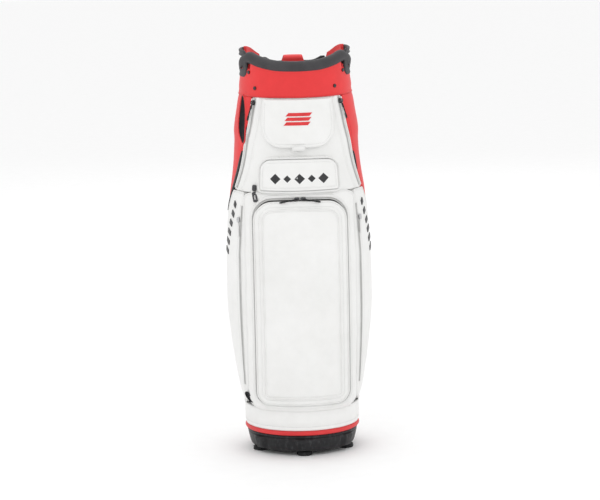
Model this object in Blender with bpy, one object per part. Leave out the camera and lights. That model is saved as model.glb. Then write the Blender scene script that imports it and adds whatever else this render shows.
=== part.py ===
"""Golf staff bag: base, body tube, pockets, collar, rim and strap. Metres, +Z up, front towards -Y."""

import math

import bmesh
import bpy
from mathutils import Matrix, Vector

# Clearances
GAP = 0.0004  # between pieces that touch
PLAY = 0.0010  # round a door, inside its frame
SEAT = 0.0008  # under a frame whose facets differ from the surface's

# Base
FOOT_HEIGHT = 0.0085
FOOT_RADIUS = 0.017
FOOT_INSET = 0.0005  # from the cup's lower edge
FOOT_ANGLES = {"front": 0, "front_right": 72, "rear_right": 144, "rear_left": -144, "front_left": -72}
CUP_TOP = 0.047
CUP_FLOOR = 0.007
CUP_TAPER = 0.006
BAND_THICKNESS = 0.0121
PIPING_HEIGHT = 0.011
PIPING_PROUD = 0.0012
BAND_HEIGHT = 0.0455

# Body
TUBE_RADIUS = 0.1075
TUBE_WALL = 0.0025
COVER_THICKNESS = 0.0025
BODY_LENGTH = 0.686  # from the band to the collar seam
STAY_WIDTH = 0.012
STAY_THICKNESS = 0.0025
SKIN = 0.0030  # a pocket's fabric with its padding
WALL = 0.0040  # a pocket's side walls

# Outline of the bag: distance beyond the cover, at shares of the body's length
SIDE_BULGE = [(0, 0.0122), (0.07, 0.0231), (0.19, 0.0357), (0.31, 0.0440), (0.44, 0.0445), (0.58, 0.0407),
              (0.69, 0.0330), (0.77, 0.0253), (0.85, 0.0213), (0.89, 0.0216), (0.96, 0.0143), (1, 0.0104)]
FRONT_BULGE = [(0, 0.0180), (0.14, 0.0400), (0.32, 0.0537), (0.50, 0.0537), (0.62, 0.0460), (0.70, 0.0360)]
UPPER_BULGE = [(0.68, 0.0290), (0.80, 0.0235), (0.90, 0.0165), (1, 0.0085)]
UPPER_EDGE = [(0.68, 0.0330), (0.80, 0.0232), (0.90, 0.0178), (1, 0.0098)]
FRONT_ROUND = 0.408  # how fast the front pocket falls away sideways, over the cover's radius

# Front pocket
UPPER_LENGTH = 0.206  # from the collar seam down to the top of the front pocket
SEAM_BEYOND = 0.0047  # side seams of the front pocket, beyond the cover
LIP_STEP = 0.0100
DOOR_STEP = 0.0070
DOOR_TOP_RADIUS = 0.040
DOOR_LOW_RADIUS = 0.028
DOOR_RISE = 0.013  # door's bottom above the pocket's
DOOR_DROP = 0.020  # door's top below the pocket's
LIP_INSET = 0.007
CROWN = 0.005
POCKET_BACK = 0.020  # nearest the side walls come to the middle plane

# Upper front panel with its two small pockets
# Angle from the front where white meets red, at shares of the body's length
SPLIT_LINE = [(0.70, 74), (0.76, 65.5), (0.81, 61.5), (0.854, 59.3), (0.912, 55), (1, 51.5)]
SPLIT_GAP = 0.9
RED_STEPS = 12  # points up a red panel's edge
REFERENCE_RADIUS = 0.130  # turns an angle into a width
VALUABLES_HALF = 0.083
VALUABLES_HEIGHT = 0.074
VALUABLES_RADIUS = 0.026
VALUABLES_DEPTH = 0.0100
FLAP_HALF = 0.0785
PULLER_BESIDE = 0.0120  # the valuables slider runs this far outside the pocket's edge
PULLER_OVER = 0.0105  # and hangs this far in front of the front pocket's lip
UPPER_HALF = 0.125  # half the widths of the panels round the cover
SIDE_HALF = 0.078
RED_HALF = 0.070
BACK_CHORD = 6  # half the step between a panel's columns, degrees
FLAP_HEIGHT = 0.101
FLAP_RADIUS = 0.030
FLAP_DEPTH = 0.0060
TAB_SIZE = (0.026, 0.012, 0.0016)

# Sides and back
SIDE_REAR_ANGLE = 124
SIDE_RADIUS = 0.030
CORNER_STEP = 0.0018  # from a front pocket's side seam to the side pocket's inner corner
ZIP_INSET = 0.0085  # the upper zips, inside the white panel's edge
MOUTH_ANGLE = 68
MOUTH_LEAN = -10
MOUTH_SIZE = (0.030, 0.104)
BACK_ANGLE = 125.5
BACK_DEPTH = 0.0150
VENT_SIZE = (0.031, 0.016, 0.0022)

# Collar and rim
COLLAR_WALL = 0.0048
COLLAR_FLARE = 0.0052
RIM_RADIUS = 0.0110
RIM_FRONT = 0.069  # rim's middle above the collar seam, in front
RIM_REAR = 0.0505
SIDE_PEAK = 0.099  # top of the lift handles above the collar seam
HANDLE_HEIGHT = 0.060
HANDLE_FROM = 62
HANDLE_TO = 118
REAR_FROM = 144
FRAME_HEIGHT = 0.026
DIVIDER_OFFSET = 0.036
DIVIDER_THICKNESS = 0.0050
SHEET_THICKNESS = 0.0020
STUD_RADIUS = 0.0040
REAR_HANDLE_WIDTH = 0.052
REAR_HANDLE_THICKNESS = 0.004

# Strap
STRAP_WIDTH = 0.056
STRAP_THICKNESS = 0.013
STRAP_TOP = 0.075  # below the collar seam
STRAP_LOW = 0.180  # above the band
STRAP_STANDOFF = 0.0015
RING_RADIUS = 0.017
RING_WIRE = 0.0022

SEGMENTS = 48

COVER_INSIDE = TUBE_RADIUS + STAY_THICKNESS + 2 * GAP
COVER_RADIUS = COVER_INSIDE + COVER_THICKNESS
POCKET_RADIUS = COVER_RADIUS / math.cos(math.radians(10.5)) + GAP  # back edges, whose chords clear the cover
SEAM_HALF = COVER_RADIUS + SEAM_BEYOND
LIP_HALF = SEAM_HALF - LIP_STEP
DOOR_HALF = LIP_HALF - DOOR_STEP
FRONT_CURVE = FRONT_ROUND / COVER_RADIUS
PIPING_LOW = CUP_TOP + GAP
PIPING_TOP = PIPING_LOW + PIPING_HEIGHT
BAND_LOW = PIPING_TOP + GAP
BAND_TOP = BAND_LOW + BAND_HEIGHT
BAND_RADIUS = COVER_RADIUS + BAND_THICKNESS
COLLAR_SEAM = BAND_TOP + BODY_LENGTH
SPLIT = COLLAR_SEAM - UPPER_LENGTH
FRAME_LOW = COLLAR_SEAM + 0.010
FRAME_TOP = FRAME_LOW + FRAME_HEIGHT
RIM_CIRCLE = COVER_RADIUS - 0.0030
FOOT_CIRCLE = BAND_RADIUS - 0.0040 - CUP_TAPER - FOOT_RADIUS + FOOT_INSET


def material(name, colour, roughness, metallic=0.0):
    found = bpy.data.materials.get(name) or bpy.data.materials.new(name)
    found.use_nodes = True
    shader = found.node_tree.nodes["Principled BSDF"]
    shader.inputs["Base Color"].default_value = (*colour, 1)
    shader.inputs["Roughness"].default_value = roughness
    shader.inputs["Metallic"].default_value = metallic
    return found


FINISHES = {
    "white_leather": ((0.80, 0.80, 0.77), 0.5, 0.0),
    "red_leather": ((0.62, 0.03, 0.03), 0.45, 0.0),
    "black_plastic": ((0.02, 0.02, 0.022), 0.5, 0.0),
    "black_rubber": ((0.03, 0.03, 0.03), 0.7, 0.0),
    "black_lining": ((0.015, 0.015, 0.016), 0.85, 0.0),
    "dark_metal": ((0.08, 0.08, 0.085), 0.35, 1.0),
    "steel": ((0.55, 0.55, 0.56), 0.3, 1.0),
}


def make(name, points, faces, finish, smooth=True):
    """An object from points and faces, its normals turned out."""
    mesh = bpy.data.meshes.new(name)
    shape = bmesh.new()
    corners = [shape.verts.new(point) for point in points]
    for face in faces:
        shape.faces.new([corners[i] for i in face])
    bmesh.ops.recalc_face_normals(shape, faces=shape.faces[:])
    shape.to_mesh(mesh)
    shape.free()
    if smooth:
        mesh.shade_smooth()
        mesh.set_sharp_from_angle(angle=math.radians(35))
    mesh.materials.append(material(f"{name}_{finish}", *FINISHES[finish]))
    obj = bpy.data.objects.new(name, mesh)
    bpy.context.scene.collection.objects.link(obj)
    return obj


def set_origin(obj, point):
    """Moves an object's origin onto its joint's axis, with its shape where it was."""
    obj.data.transform(Matrix.Translation(-Vector(point)))
    obj.location = point


def loft(name, loops, finish, wrap=False, first=None, last=None):
    """A closed body through loops of equal count: a ring when it wraps, or closed by a point at each end."""
    count = len(loops[0])
    points = [point for loop in loops for point in loop]
    faces = []
    pairs = list(zip(range(len(loops)), range(1, len(loops))))
    if wrap:
        pairs.append((len(loops) - 1, 0))
    for a, b in pairs:
        for i in range(count):
            j = (i + 1) % count
            faces.append((a * count + i, a * count + j, b * count + j, b * count + i))
    for centre, loop in ((first, 0), (last, len(loops) - 1)):
        if centre is not None:
            points.append(centre)
            for i in range(count):
                faces.append((loop * count + i, loop * count + (i + 1) % count, len(points) - 1))
    return make(name, points, faces, finish)


def polar(angle, radius, z):
    """Angle in degrees from the front, towards +X."""
    turn = math.radians(angle)
    return Vector((radius * math.sin(turn), -radius * math.cos(turn), z))


def share(z):
    return (z - BAND_TOP) / BODY_LENGTH


def curve_through(stations, at):
    """A smooth curve through (place, value) stations."""
    at = min(max(at, stations[0][0]), stations[-1][0])
    slopes = []
    for i in range(len(stations)):
        low, high = stations[max(i - 1, 0)], stations[min(i + 1, len(stations) - 1)]
        slopes.append((high[1] - low[1]) / (high[0] - low[0]))
    for i in range(len(stations) - 1):
        (x0, y0), (x1, y1) = stations[i], stations[i + 1]
        if at <= x1:
            span = x1 - x0
            t = (at - x0) / span
            rise = (2 * t**3 - 3 * t**2 + 1) * y0 + (-2 * t**3 + 3 * t**2) * y1
            return rise + (t**3 - 2 * t**2 + t) * span * slopes[i] + (t**3 - t**2) * span * slopes[i + 1]
    return stations[-1][1]


def side_radius(z):
    return COVER_RADIUS + curve_through(SIDE_BULGE, share(z))


def front_place(x, z, off):
    depth = COVER_RADIUS + curve_through(FRONT_BULGE, share(z)) - FRONT_CURVE * x * x
    return Vector((x, -depth - off, z))


def upper_place(u, z, off):
    turn = u / REFERENCE_RADIUS
    front = COVER_RADIUS + curve_through(UPPER_BULGE, share(z))
    side = COVER_RADIUS + curve_through(UPPER_EDGE, share(z))
    radius = front * math.cos(turn) ** 2 + side * math.sin(turn) ** 2
    return polar(math.degrees(turn), radius + off, z)


def split_angle(z):
    return curve_through(SPLIT_LINE, share(z))


def strip(side, radius_at, front_at, rear_at):
    """A surface between two angles that change with height: u runs from -1 in front to 1 behind."""

    def place(u, z, off):
        front, rear = front_at(z), rear_at(z)
        return polar(side * (front + (rear - front) * (u + 1) / 2), radius_at(u, z) + off, z)

    return place


def outline(left, right, low, high, low_radius, high_radius, crown=0.0, upright=6):
    """A rounded rectangle as a loop of (u, v) points, its top edge bowed up by the crown."""
    flat, arc = 6, 4
    loop = []

    def corner(cx, cy, radius, start):
        for i in range(arc):
            turn = math.radians(start + 90 * i / arc)
            loop.append((cx + radius * math.cos(turn), cy + radius * math.sin(turn)))

    def run(x0, y0, x1, y1, steps):
        for i in range(steps):
            loop.append((x0 + (x1 - x0) * i / steps, y0 + (y1 - y0) * i / steps))

    run(left + low_radius, low, right - low_radius, low, flat)
    corner(right - low_radius, low + low_radius, low_radius, -90)
    run(right, low + low_radius, right, high - high_radius, upright)
    corner(right - high_radius, high - high_radius, high_radius, 0)
    run(right - high_radius, high, left + high_radius, high, flat)
    corner(left + high_radius, high - high_radius, high_radius, 90)
    run(left, high - high_radius, left, low + low_radius, upright)
    corner(left + low_radius, low + low_radius, low_radius, 180)
    middle, half = (left + right) / 2, (right - left) / 2
    return [(u, v + crown * (1 - ((u - middle) / half) ** 2) * (v > (low + high) / 2)) for u, v in loop]


def spread(shape, place, off):
    return [place(u, v, off) for u, v in shape]


def shrunk(shape, scale):
    middle = [(min(p[i] for p in shape) + max(p[i] for p in shape)) / 2 for i in (0, 1)]
    return [(middle[0] + (u - middle[0]) * scale, middle[1] + (v - middle[1]) * scale) for u, v in shape]


def middle_of(shape, place, off):
    return place(*shrunk(shape, 0)[0], off)


def pad(name, shape, place, off, thickness, finish, scales=(0.25, 0.55, 0.8, 1)):
    """A panel of even thickness that follows a surface."""
    outer = [spread(shrunk(shape, scale), place, off + thickness) for scale in scales]
    inner = [spread(shrunk(shape, scale), place, off) for scale in reversed(scales)]
    ends = middle_of(shape, place, off + thickness), middle_of(shape, place, off)
    return loft(name, outer + inner, finish, first=ends[0], last=ends[1])


def tray(name, shape, inner_shape, place, back, inner_back, finish, scales=(0.25, 0.55, 0.8, 1)):
    """A shell with a front skin and side walls, open at the back."""
    outer = [spread(shrunk(shape, scale), place, 0) for scale in scales]
    inner = [spread(shrunk(inner_shape, scale), place, -SKIN) for scale in reversed(scales)]
    ends = middle_of(shape, place, 0), middle_of(shape, place, -SKIN)
    return loft(name, outer + [back, inner_back] + inner, finish, first=ends[0], last=ends[1])


def turned(name, profile, finish, wrap=True, segments=SEGMENTS):
    """A ring turned round the bag's axis from a profile of (radius, z)."""
    loops = [[polar(360 * i / segments, r, z) for i in range(segments)] for r, z in profile]
    ends = (None, None) if wrap else tuple(Vector((0, 0, z)) for z in (profile[0][1], profile[-1][1]))
    return loft(name, loops, finish, wrap=wrap, first=ends[0], last=ends[1])


def frame_at(place, u, v, off):
    """A matrix on a surface: Y along v, Z outwards, X across them."""
    step = 0.002
    along = (place(u + step, v, off) - place(u - step, v, off)).normalized()
    up = (place(u, v + step, off) - place(u, v - step, off)).normalized()
    out = along.cross(up).normalized()
    if out.dot(place(u, v, off + step) - place(u, v, off)) < 0:
        out = -out
    along = up.cross(out)
    matrix = Matrix((along, up, out)).transposed().to_4x4()
    matrix.translation = place(u, v, off)
    return matrix


def block(name, matrix, size, finish, centre=(0, 0, 0), bevel=0.25):
    """A box with chamfered long edges, in a matrix's own axes."""
    half = [s / 2 for s in size]
    cut = bevel * min(size[0], size[1])
    ring = [(half[0] - cut, half[1]), (-half[0] + cut, half[1]), (-half[0], half[1] - cut),
            (-half[0], -half[1] + cut), (-half[0] + cut, -half[1]), (half[0] - cut, -half[1]),
            (half[0], -half[1] + cut), (half[0], half[1] - cut)]
    loops = [[matrix @ (Vector((x, y, z)) + Vector(centre)) for x, y in ring] for z in (-half[2], half[2])]
    ends = [matrix @ (Vector((0, 0, z)) + Vector(centre)) for z in (-half[2], half[2])]
    return loft(name, loops, finish, first=ends[0], last=ends[1])


def sweep(name, path, radius, finish, sides=10, closed=False):
    """A round bar along a path of points."""
    loops = []
    count = len(path)
    for i, point in enumerate(path):
        before = path[(i - 1) % count] if closed or i else point
        after = path[(i + 1) % count] if closed or i < count - 1 else point
        along = (after - before).normalized()
        side = along.cross(Vector((0, 0, 1)))
        side = side.normalized() if side.length > 0.01 else Vector((1, 0, 0))
        up = side.cross(along)
        turns = [2 * math.pi * k / sides for k in range(sides)]
        loops.append([point + radius * (math.cos(t) * side + math.sin(t) * up) for t in turns])
    if closed:
        return loft(name, loops, finish, wrap=True)
    return loft(name, loops, finish, first=path[0], last=path[-1])


def cut(obj, cutter, solver="EXACT"):
    cutter.hide_render = True
    cutter.display_type = "WIRE"
    modifier = obj.modifiers.new(f"Cut {cutter.name}", "BOOLEAN")
    modifier.object = cutter
    modifier.operation = "DIFFERENCE"
    modifier.solver = solver


def build_base():
    low = FOOT_HEIGHT + GAP
    inside = TUBE_RADIUS + GAP
    outer = BAND_RADIUS - 0.0040
    turned("base_cup", [(outer - CUP_TAPER, low), (outer - CUP_TAPER + 0.003, low + 0.004), (outer, CUP_TOP),
                        (inside, CUP_TOP), (inside, low + CUP_FLOOR)], "black_plastic", wrap=False)
    for where, angle in FOOT_ANGLES.items():
        spot = Matrix.Translation(polar(angle, FOOT_CIRCLE, 0))
        loops = []
        for radius, z in ((FOOT_RADIUS - 0.002, 0), (FOOT_RADIUS, 0.002), (FOOT_RADIUS, FOOT_HEIGHT)):
            turns = [2 * math.pi * k / 16 for k in range(16)]
            loops.append([spot @ Vector((radius * math.cos(t), radius * math.sin(t), z)) for t in turns])
        ends = [spot @ Vector((0, 0, z)) for z in (0, FOOT_HEIGHT)]
        loft(f"foot_{where}", loops, "black_rubber", first=ends[0], last=ends[1])
    low, top, outer = PIPING_LOW, PIPING_TOP, BAND_RADIUS + PIPING_PROUD
    turned("base_piping", [(COVER_RADIUS, low), (outer - 0.002, low), (outer, low + 0.003), (outer, top - 0.003),
                           (outer - 0.002, top), (COVER_RADIUS, top)], "red_leather")
    turned("base_band", [(COVER_RADIUS + GAP, BAND_LOW), (BAND_RADIUS, BAND_LOW), (BAND_RADIUS, BAND_TOP),
                         (COVER_RADIUS + GAP, BAND_TOP)], "white_leather")


def build_core():
    low = FOOT_HEIGHT + CUP_FLOOR + 2 * GAP
    inside = TUBE_RADIUS - TUBE_WALL
    turned("body_tube", [(inside, low), (TUBE_RADIUS, low), (TUBE_RADIUS, FRAME_LOW - GAP),
                         (inside, FRAME_LOW - GAP)], "black_plastic")
    turned("body_cover", [(COVER_INSIDE, BAND_LOW), (COVER_RADIUS, BAND_LOW), (COVER_RADIUS, COLLAR_SEAM - GAP),
                          (COVER_INSIDE, COLLAR_SEAM - GAP)], "black_lining")
    for name, angle in (("stay_left", -150), ("stay_right", 150)):
        reach = math.degrees(STAY_WIDTH / 2 / TUBE_RADIUS)
        radii = TUBE_RADIUS + GAP, TUBE_RADIUS + GAP + STAY_THICKNESS - 0.0003
        corners = [(angle - reach, radii[0]), (angle, radii[0]), (angle + reach, radii[0]),
                   (angle + reach, radii[1]), (angle, radii[1]), (angle - reach, radii[1])]
        levels = (BAND_LOW, COLLAR_SEAM - GAP)
        loops = [[polar(a, r, z) for a, r in corners] for z in levels]
        ends = [polar(angle, sum(radii) / 2, z) for z in levels]
        loft(name, loops, "steel", first=ends[0], last=ends[1])


def cross_outline(thickness, radius):
    """The divider's plan: one wall front to back and two across it, as a list of rectangles."""
    half = thickness / 2
    reach = math.sqrt(radius**2 - (DIVIDER_OFFSET + half) ** 2)
    return [(-half, half, -radius, radius)] + [
        (-reach, reach, y - half, y + half) for y in (-DIVIDER_OFFSET, DIVIDER_OFFSET)]


def plan_loop(thickness, radius):
    """The outline of the divider's crossing walls, going once round."""
    half = thickness / 2
    (_, _, _, front), first, second = cross_outline(thickness, radius)
    low = [(-half, -front), (half, -front)]
    right = []
    left = []
    for x0, x1, y0, y1 in (first, second):
        right += [(half, y0), (x1, y0), (x1, y1), (half, y1)]
        left += [(-half, y0), (x0, y0), (x0, y1), (-half, y1)]
    return low + right + [(half, front), (-half, front)] + left[::-1]


def prism(name, loop, low, high, finish):
    """An upright prism over a plan that may be hollow-cornered."""
    mesh = bpy.data.meshes.new(name)
    shape = bmesh.new()
    bottom = shape.faces.new([shape.verts.new((x, y, low)) for x, y in loop])
    grown = bmesh.ops.extrude_face_region(shape, geom=[bottom])
    risen = [item for item in grown["geom"] if isinstance(item, bmesh.types.BMVert)]
    bmesh.ops.translate(shape, verts=risen, vec=(0, 0, high - low))
    bmesh.ops.recalc_face_normals(shape, faces=shape.faces[:])
    shape.to_mesh(mesh)
    shape.free()
    mesh.materials.append(material(f"{name}_{finish}", *FINISHES[finish]))
    obj = bpy.data.objects.new(name, mesh)
    bpy.context.scene.collection.objects.link(obj)
    return obj


def build_dividers():
    inside = TUBE_RADIUS - TUBE_WALL - 0.003
    low = FOOT_HEIGHT + CUP_FLOOR + 0.004
    prism("divider_sheets", plan_loop(SHEET_THICKNESS, inside), low, FRAME_LOW - 0.002, "black_lining")
    ring_outside = COVER_RADIUS - GAP
    ring_inside = inside - 0.004
    ring = turned("top_frame", [(ring_inside, FRAME_LOW), (ring_outside, FRAME_LOW), (ring_outside, FRAME_TOP - 0.004),
                                (ring_outside - 0.004, FRAME_TOP), (ring_inside + 0.003, FRAME_TOP),
                                (ring_inside, FRAME_TOP - 0.003)], "black_plastic")
    bars = prism("divider_bars", plan_loop(DIVIDER_THICKNESS, ring_inside + 0.003), FRAME_LOW + 0.002,
                 FRAME_TOP - 0.002, "black_plastic")
    bars.hide_render = True
    bars.display_type = "WIRE"
    join = ring.modifiers.new("Bars", "BOOLEAN")
    join.object = bars
    join.operation = "UNION"
    join.solver = "EXACT"


def rim_height(angle):
    """Height of the rim's middle line round the mouth."""
    turn = abs((angle + 180) % 360 - 180)
    peak = SIDE_PEAK - RIM_RADIUS
    stations = [(0, RIM_FRONT), (25, RIM_FRONT + 0.001), (45, RIM_FRONT + 0.007), (HANDLE_FROM, peak - 0.004),
                (90, peak), (HANDLE_TO, peak), (134, (peak + RIM_REAR) / 2 + 0.004), (156, RIM_REAR), (180, RIM_REAR)]
    return COLLAR_SEAM + curve_through(stations, turn)


def collar_top(angle):
    turn = abs((angle + 180) % 360 - 180)
    if HANDLE_FROM - 1 < turn < HANDLE_TO + 1:
        return COLLAR_SEAM + SIDE_PEAK - HANDLE_HEIGHT + 0.016
    if turn <= HANDLE_FROM:
        return rim_height(angle) - RIM_RADIUS - GAP
    if turn > REAR_FROM - 4.7:
        return rim_height(angle) - RIM_RADIUS - 0.005
    return rim_height(angle) + RIM_RADIUS * 0.9


def collar_angles():
    half = [0, 10, 20, 30, 40, 50, HANDLE_FROM - 1.0, HANDLE_FROM - 0.4, 70, 80, 90, 100, 110, HANDLE_TO + 0.4,
            HANDLE_TO + 1.0, 124, 129, 134, REAR_FROM - 5.0, REAR_FROM - 4.4, 152, 162, 172, 180]
    return half + [360 - angle for angle in half[-2:0:-1]]


def build_collar():
    angles = collar_angles()
    low, flare = COLLAR_SEAM + GAP, COLLAR_SEAM + 0.040
    base = COVER_RADIUS + GAP
    outer_low = [polar(a, base + COLLAR_WALL + COLLAR_FLARE, low) for a in angles]
    outer_mid = [polar(a, base + COLLAR_WALL, min(flare, collar_top(a) - 0.004)) for a in angles]
    outer_top = [polar(a, base + COLLAR_WALL - 0.0005, collar_top(a)) for a in angles]
    inner_top = [polar(a, base, collar_top(a)) for a in angles]
    inner_low = [polar(a, base, low) for a in angles]
    loft("collar", [outer_low, outer_mid, outer_top, inner_top, inner_low], "red_leather", wrap=True)
    steps = 18
    for name, first, last in (("rim_grip", -HANDLE_FROM + 1, HANDLE_FROM - 1), ("rear_rim", REAR_FROM, 360 - REAR_FROM)):
        stations = [first + (last - first) * i / steps for i in range(steps + 1)]
        sweep(name, [polar(a, RIM_CIRCLE, rim_height(a)) for a in stations], RIM_RADIUS, "black_rubber")


def build_lift_handles():
    outside = COVER_RADIUS + GAP + COLLAR_WALL + 0.0048
    inside = COVER_RADIUS + COLLAR_WALL + 0.0018
    middle = (HANDLE_FROM + HANDLE_TO) / 2
    half = math.radians((HANDLE_TO - HANDLE_FROM) / 2) * REFERENCE_RADIUS
    top = COLLAR_SEAM + SIDE_PEAK
    low = top - HANDLE_HEIGHT
    slot_low, slot_high = collar_top(middle) + 0.002, top - 0.014
    for side, name in ((-1, "lift_handle_left"), (1, "lift_handle_right")):

        def place(u, z, radius, turn=side):
            return polar(turn * (middle + math.degrees(u / REFERENCE_RADIUS)), radius, z)

        edge = outline(-half, half, low, top, 0.010, 0.020)
        slot = outline(-half + 0.020, half - 0.020, slot_low, slot_high, 0.008, 0.008)
        loft(name, [spread(edge, place, outside), spread(edge, place, inside), spread(slot, place, inside),
                    spread(slot, place, outside)], "black_plastic", wrap=True)


def build_studs():
    radius = COVER_RADIUS + COLLAR_WALL + 0.0006
    for name, angle, rise in (("stud_front_left", -47, 0.019), ("stud_front_right", 42, 0.021),
                              ("stud_side_left", -58, 0.052), ("stud_side_right", 58, 0.052)):
        z = COLLAR_SEAM + rise
        out = polar(angle, 1, 0)
        start = polar(angle, radius + COLLAR_FLARE * max(0.0, 1 - rise / 0.040) + 0.0008, z)
        sweep(name, [start, start + out * 0.0022], STUD_RADIUS, "dark_metal", sides=12)


def build_rear_handle():
    """A band over the rear rim, hooked inside and stitched to the back."""
    seat = RIM_CIRCLE
    clear = RIM_RADIUS + 0.001
    top = rim_height(180) + clear
    thick = REAR_HANDLE_THICKNESS
    inner = [(seat - clear, FRAME_TOP + 0.002), (seat - clear, top - 0.006), (seat - 0.006, top), (seat + 0.006, top),
             (seat + clear, top - 0.006), (seat + clear + 0.0012, COLLAR_SEAM + 0.028)]
    outer = [(seat - clear - thick, FRAME_TOP + 0.002), (seat - clear - thick, top - 0.004),
             (seat - 0.008, top + thick), (seat + 0.008, top + thick), (seat + clear + thick, top - 0.004),
             (seat + clear + thick + 0.0012, COLLAR_SEAM + 0.028)]
    section = inner + outer[::-1]
    around, last = len(section), 4
    points = []
    for i in range(last + 1):
        x = REAR_HANDLE_WIDTH * (i / last - 0.5)
        points += [Vector((x, y - seat + math.sqrt(seat**2 - x * x), z)) for y, z in section]
    faces = []
    for i in range(last):
        for j in range(around):
            k = (j + 1) % around
            faces.append((i * around + j, i * around + k, (i + 1) * around + k, (i + 1) * around + j))
    for end in (0, last * around):
        faces += [(end + j, end + j + 1, end + around - 2 - j, end + around - 1 - j) for j in range(len(inner) - 1)]
    make("rear_handle", points, faces, "red_leather", smooth=False)
    for side, name in ((-1, "rim_buckle_left"), (1, "rim_buckle_right")):
        angle = 180 - side * 27
        spot = Matrix.Translation(polar(angle, RIM_CIRCLE - RIM_RADIUS - 0.0034, rim_height(angle)))
        turn = Matrix.Rotation(math.radians(180 + angle), 4, "Z") @ Matrix.Rotation(math.radians(90), 4, "X")
        block(name, spot @ turn, (0.011, 0.015, 0.0036), "black_plastic")


def door_shape(grow=0.0):
    return outline(-DOOR_HALF - grow, DOOR_HALF + grow, BAND_TOP + DOOR_RISE - grow, SPLIT - DOOR_DROP + grow,
                   DOOR_LOW_RADIUS + grow, DOOR_TOP_RADIUS + grow, CROWN)


def build_front_pocket():
    lip = outline(-LIP_HALF, LIP_HALF, BAND_TOP + LIP_INSET, SPLIT - LIP_INSET, DOOR_LOW_RADIUS + 0.006,
                  DOOR_TOP_RADIUS + 0.008, CROWN)
    seam = outline(-SEAM_HALF, SEAM_HALF, BAND_TOP + 0.002, SPLIT - 0.002, DOOR_LOW_RADIUS + 0.012,
                   DOOR_TOP_RADIUS + 0.016, 0)
    inner_seam = outline(-SEAM_HALF + WALL, SEAM_HALF - WALL, BAND_TOP + 0.002 + WALL, SPLIT - 0.002 - WALL,
                         DOOR_LOW_RADIUS + 0.008, DOOR_TOP_RADIUS + 0.012, 0)

    def seam_place(x, z, off):
        depth = math.sqrt(max(side_radius(z) ** 2 - x * x, POCKET_BACK**2))
        return Vector((x, -depth - off, z))

    def back_place(x, z, off):
        depth = math.sqrt(max(POCKET_RADIUS**2 - x * x, POCKET_BACK**2))
        return Vector((x, -depth - off, z))

    opening = door_shape(PLAY)
    loft("front_pocket", [spread(lip, front_place, -0.001), spread(seam, seam_place, 0), spread(seam, back_place, 0),
                          spread(inner_seam, back_place, 0), spread(inner_seam, seam_place, -SKIN),
                          spread(opening, front_place, -SKIN - 0.001), spread(opening, front_place, -0.001)],
         "white_leather", wrap=True)
    door = pad("front_pocket_door", door_shape(), front_place, -SKIN, SKIN, "white_leather")
    set_origin(door, front_place(0, BAND_TOP + DOOR_RISE, 0))


def track_axis(place, u, v, reach):
    """The circle through three points of a zip's run: its middle, its axis."""
    a, b, c = place(u - reach, v, 0), place(u, v, 0), place(u + reach, v, 0)
    normal = (b - a).cross(c - b).normalized()
    half = (c - a).length / 2
    sag = (b - (a + c) / 2).length
    radius = (half * half + sag * sag) / (2 * sag)
    towards = ((a + c) / 2 - b).normalized()
    return b + towards * radius, normal


def lip_line(x, z, off):
    """The top zip's run: along the lip, bowed with its crown."""
    return front_place(x, z - CROWN * (x / LIP_HALF) ** 2, off)


def build_front_sliders():
    level = SPLIT - LIP_INSET + CROWN - 0.0075
    centre, _ = track_axis(lip_line, 0, level, 0.05)
    for side, word in ((-1, "left"), (1, "right")):
        spot = frame_at(lip_line, side * 0.0070, level, 0.0020)
        slider = block(f"front_slider_{word}", spot, (0.011, 0.008, 0.0030), "dark_metal")
        pull_spot = frame_at(lip_line, side * 0.0330, level, 0.0024)
        pull = block(f"front_pull_{word}", pull_spot, (0.036, 0.0046, 0.0034), "black_rubber", bevel=0.3)
        set_origin(slider, centre)
        set_origin(pull, spot @ Vector((side * 0.0068, 0, 0)))


def build_upper_front():
    half = UPPER_HALF
    low, top = SPLIT + GAP, COLLAR_SEAM - GAP
    shape = outline(-half, half, low, top, 0.004, 0.004)
    inner = outline(-half + WALL, half - WALL, low + WALL, top - WALL, 0.003, 0.003)

    def skin_place(u, z, off):
        return upper_place(math.radians(split_angle(z) - SPLIT_GAP) * REFERENCE_RADIUS * u / half, z, off)

    def back_place(u, z, off):
        return polar((split_angle(z) - SPLIT_GAP) * u / half, POCKET_RADIUS / math.cos(math.radians(BACK_CHORD)) + off, z)

    panel = tray("upper_front", shape, inner, skin_place, spread(shape, back_place, 0), spread(inner, back_place, 0),
                 "white_leather")
    low, top = SPLIT + 0.003, SPLIT + 0.003 + VALUABLES_HEIGHT
    rim = outline(-VALUABLES_HALF, VALUABLES_HALF, low, top, 0.010, VALUABLES_RADIUS, 0.003)
    mouth = outline(-VALUABLES_HALF + WALL, VALUABLES_HALF - WALL, low + WALL, top - WALL, 0.006,
                    VALUABLES_RADIUS - WALL, 0.003)
    shut = outline(-VALUABLES_HALF + WALL + PLAY, VALUABLES_HALF - WALL - PLAY, low + WALL + PLAY,
                   top - WALL - PLAY, 0.006 - PLAY, VALUABLES_RADIUS - WALL - PLAY, 0.003)
    loft("valuables_pocket", [spread(rim, upper_place, VALUABLES_DEPTH), spread(rim, upper_place, SEAT),
                              spread(mouth, upper_place, SEAT), spread(mouth, upper_place, VALUABLES_DEPTH)],
         "white_leather", wrap=True)
    door = pad("valuables_door", shut, upper_place, VALUABLES_DEPTH - SKIN, SKIN + 0.0010, "white_leather")
    set_origin(door, upper_place(0, low + WALL + PLAY, VALUABLES_DEPTH + 0.0010))
    window = outline(-VALUABLES_HALF + 0.012, VALUABLES_HALF - 0.012, low + 0.010, top - 0.010, 0.008, 0.014)
    cut(panel, pad("valuables_window", window, upper_place, -2 * SKIN, 3 * SKIN, "black_lining"), "MANIFOLD")
    build_valuables_slider(low + 0.008)
    build_flap_pocket(panel)


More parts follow.
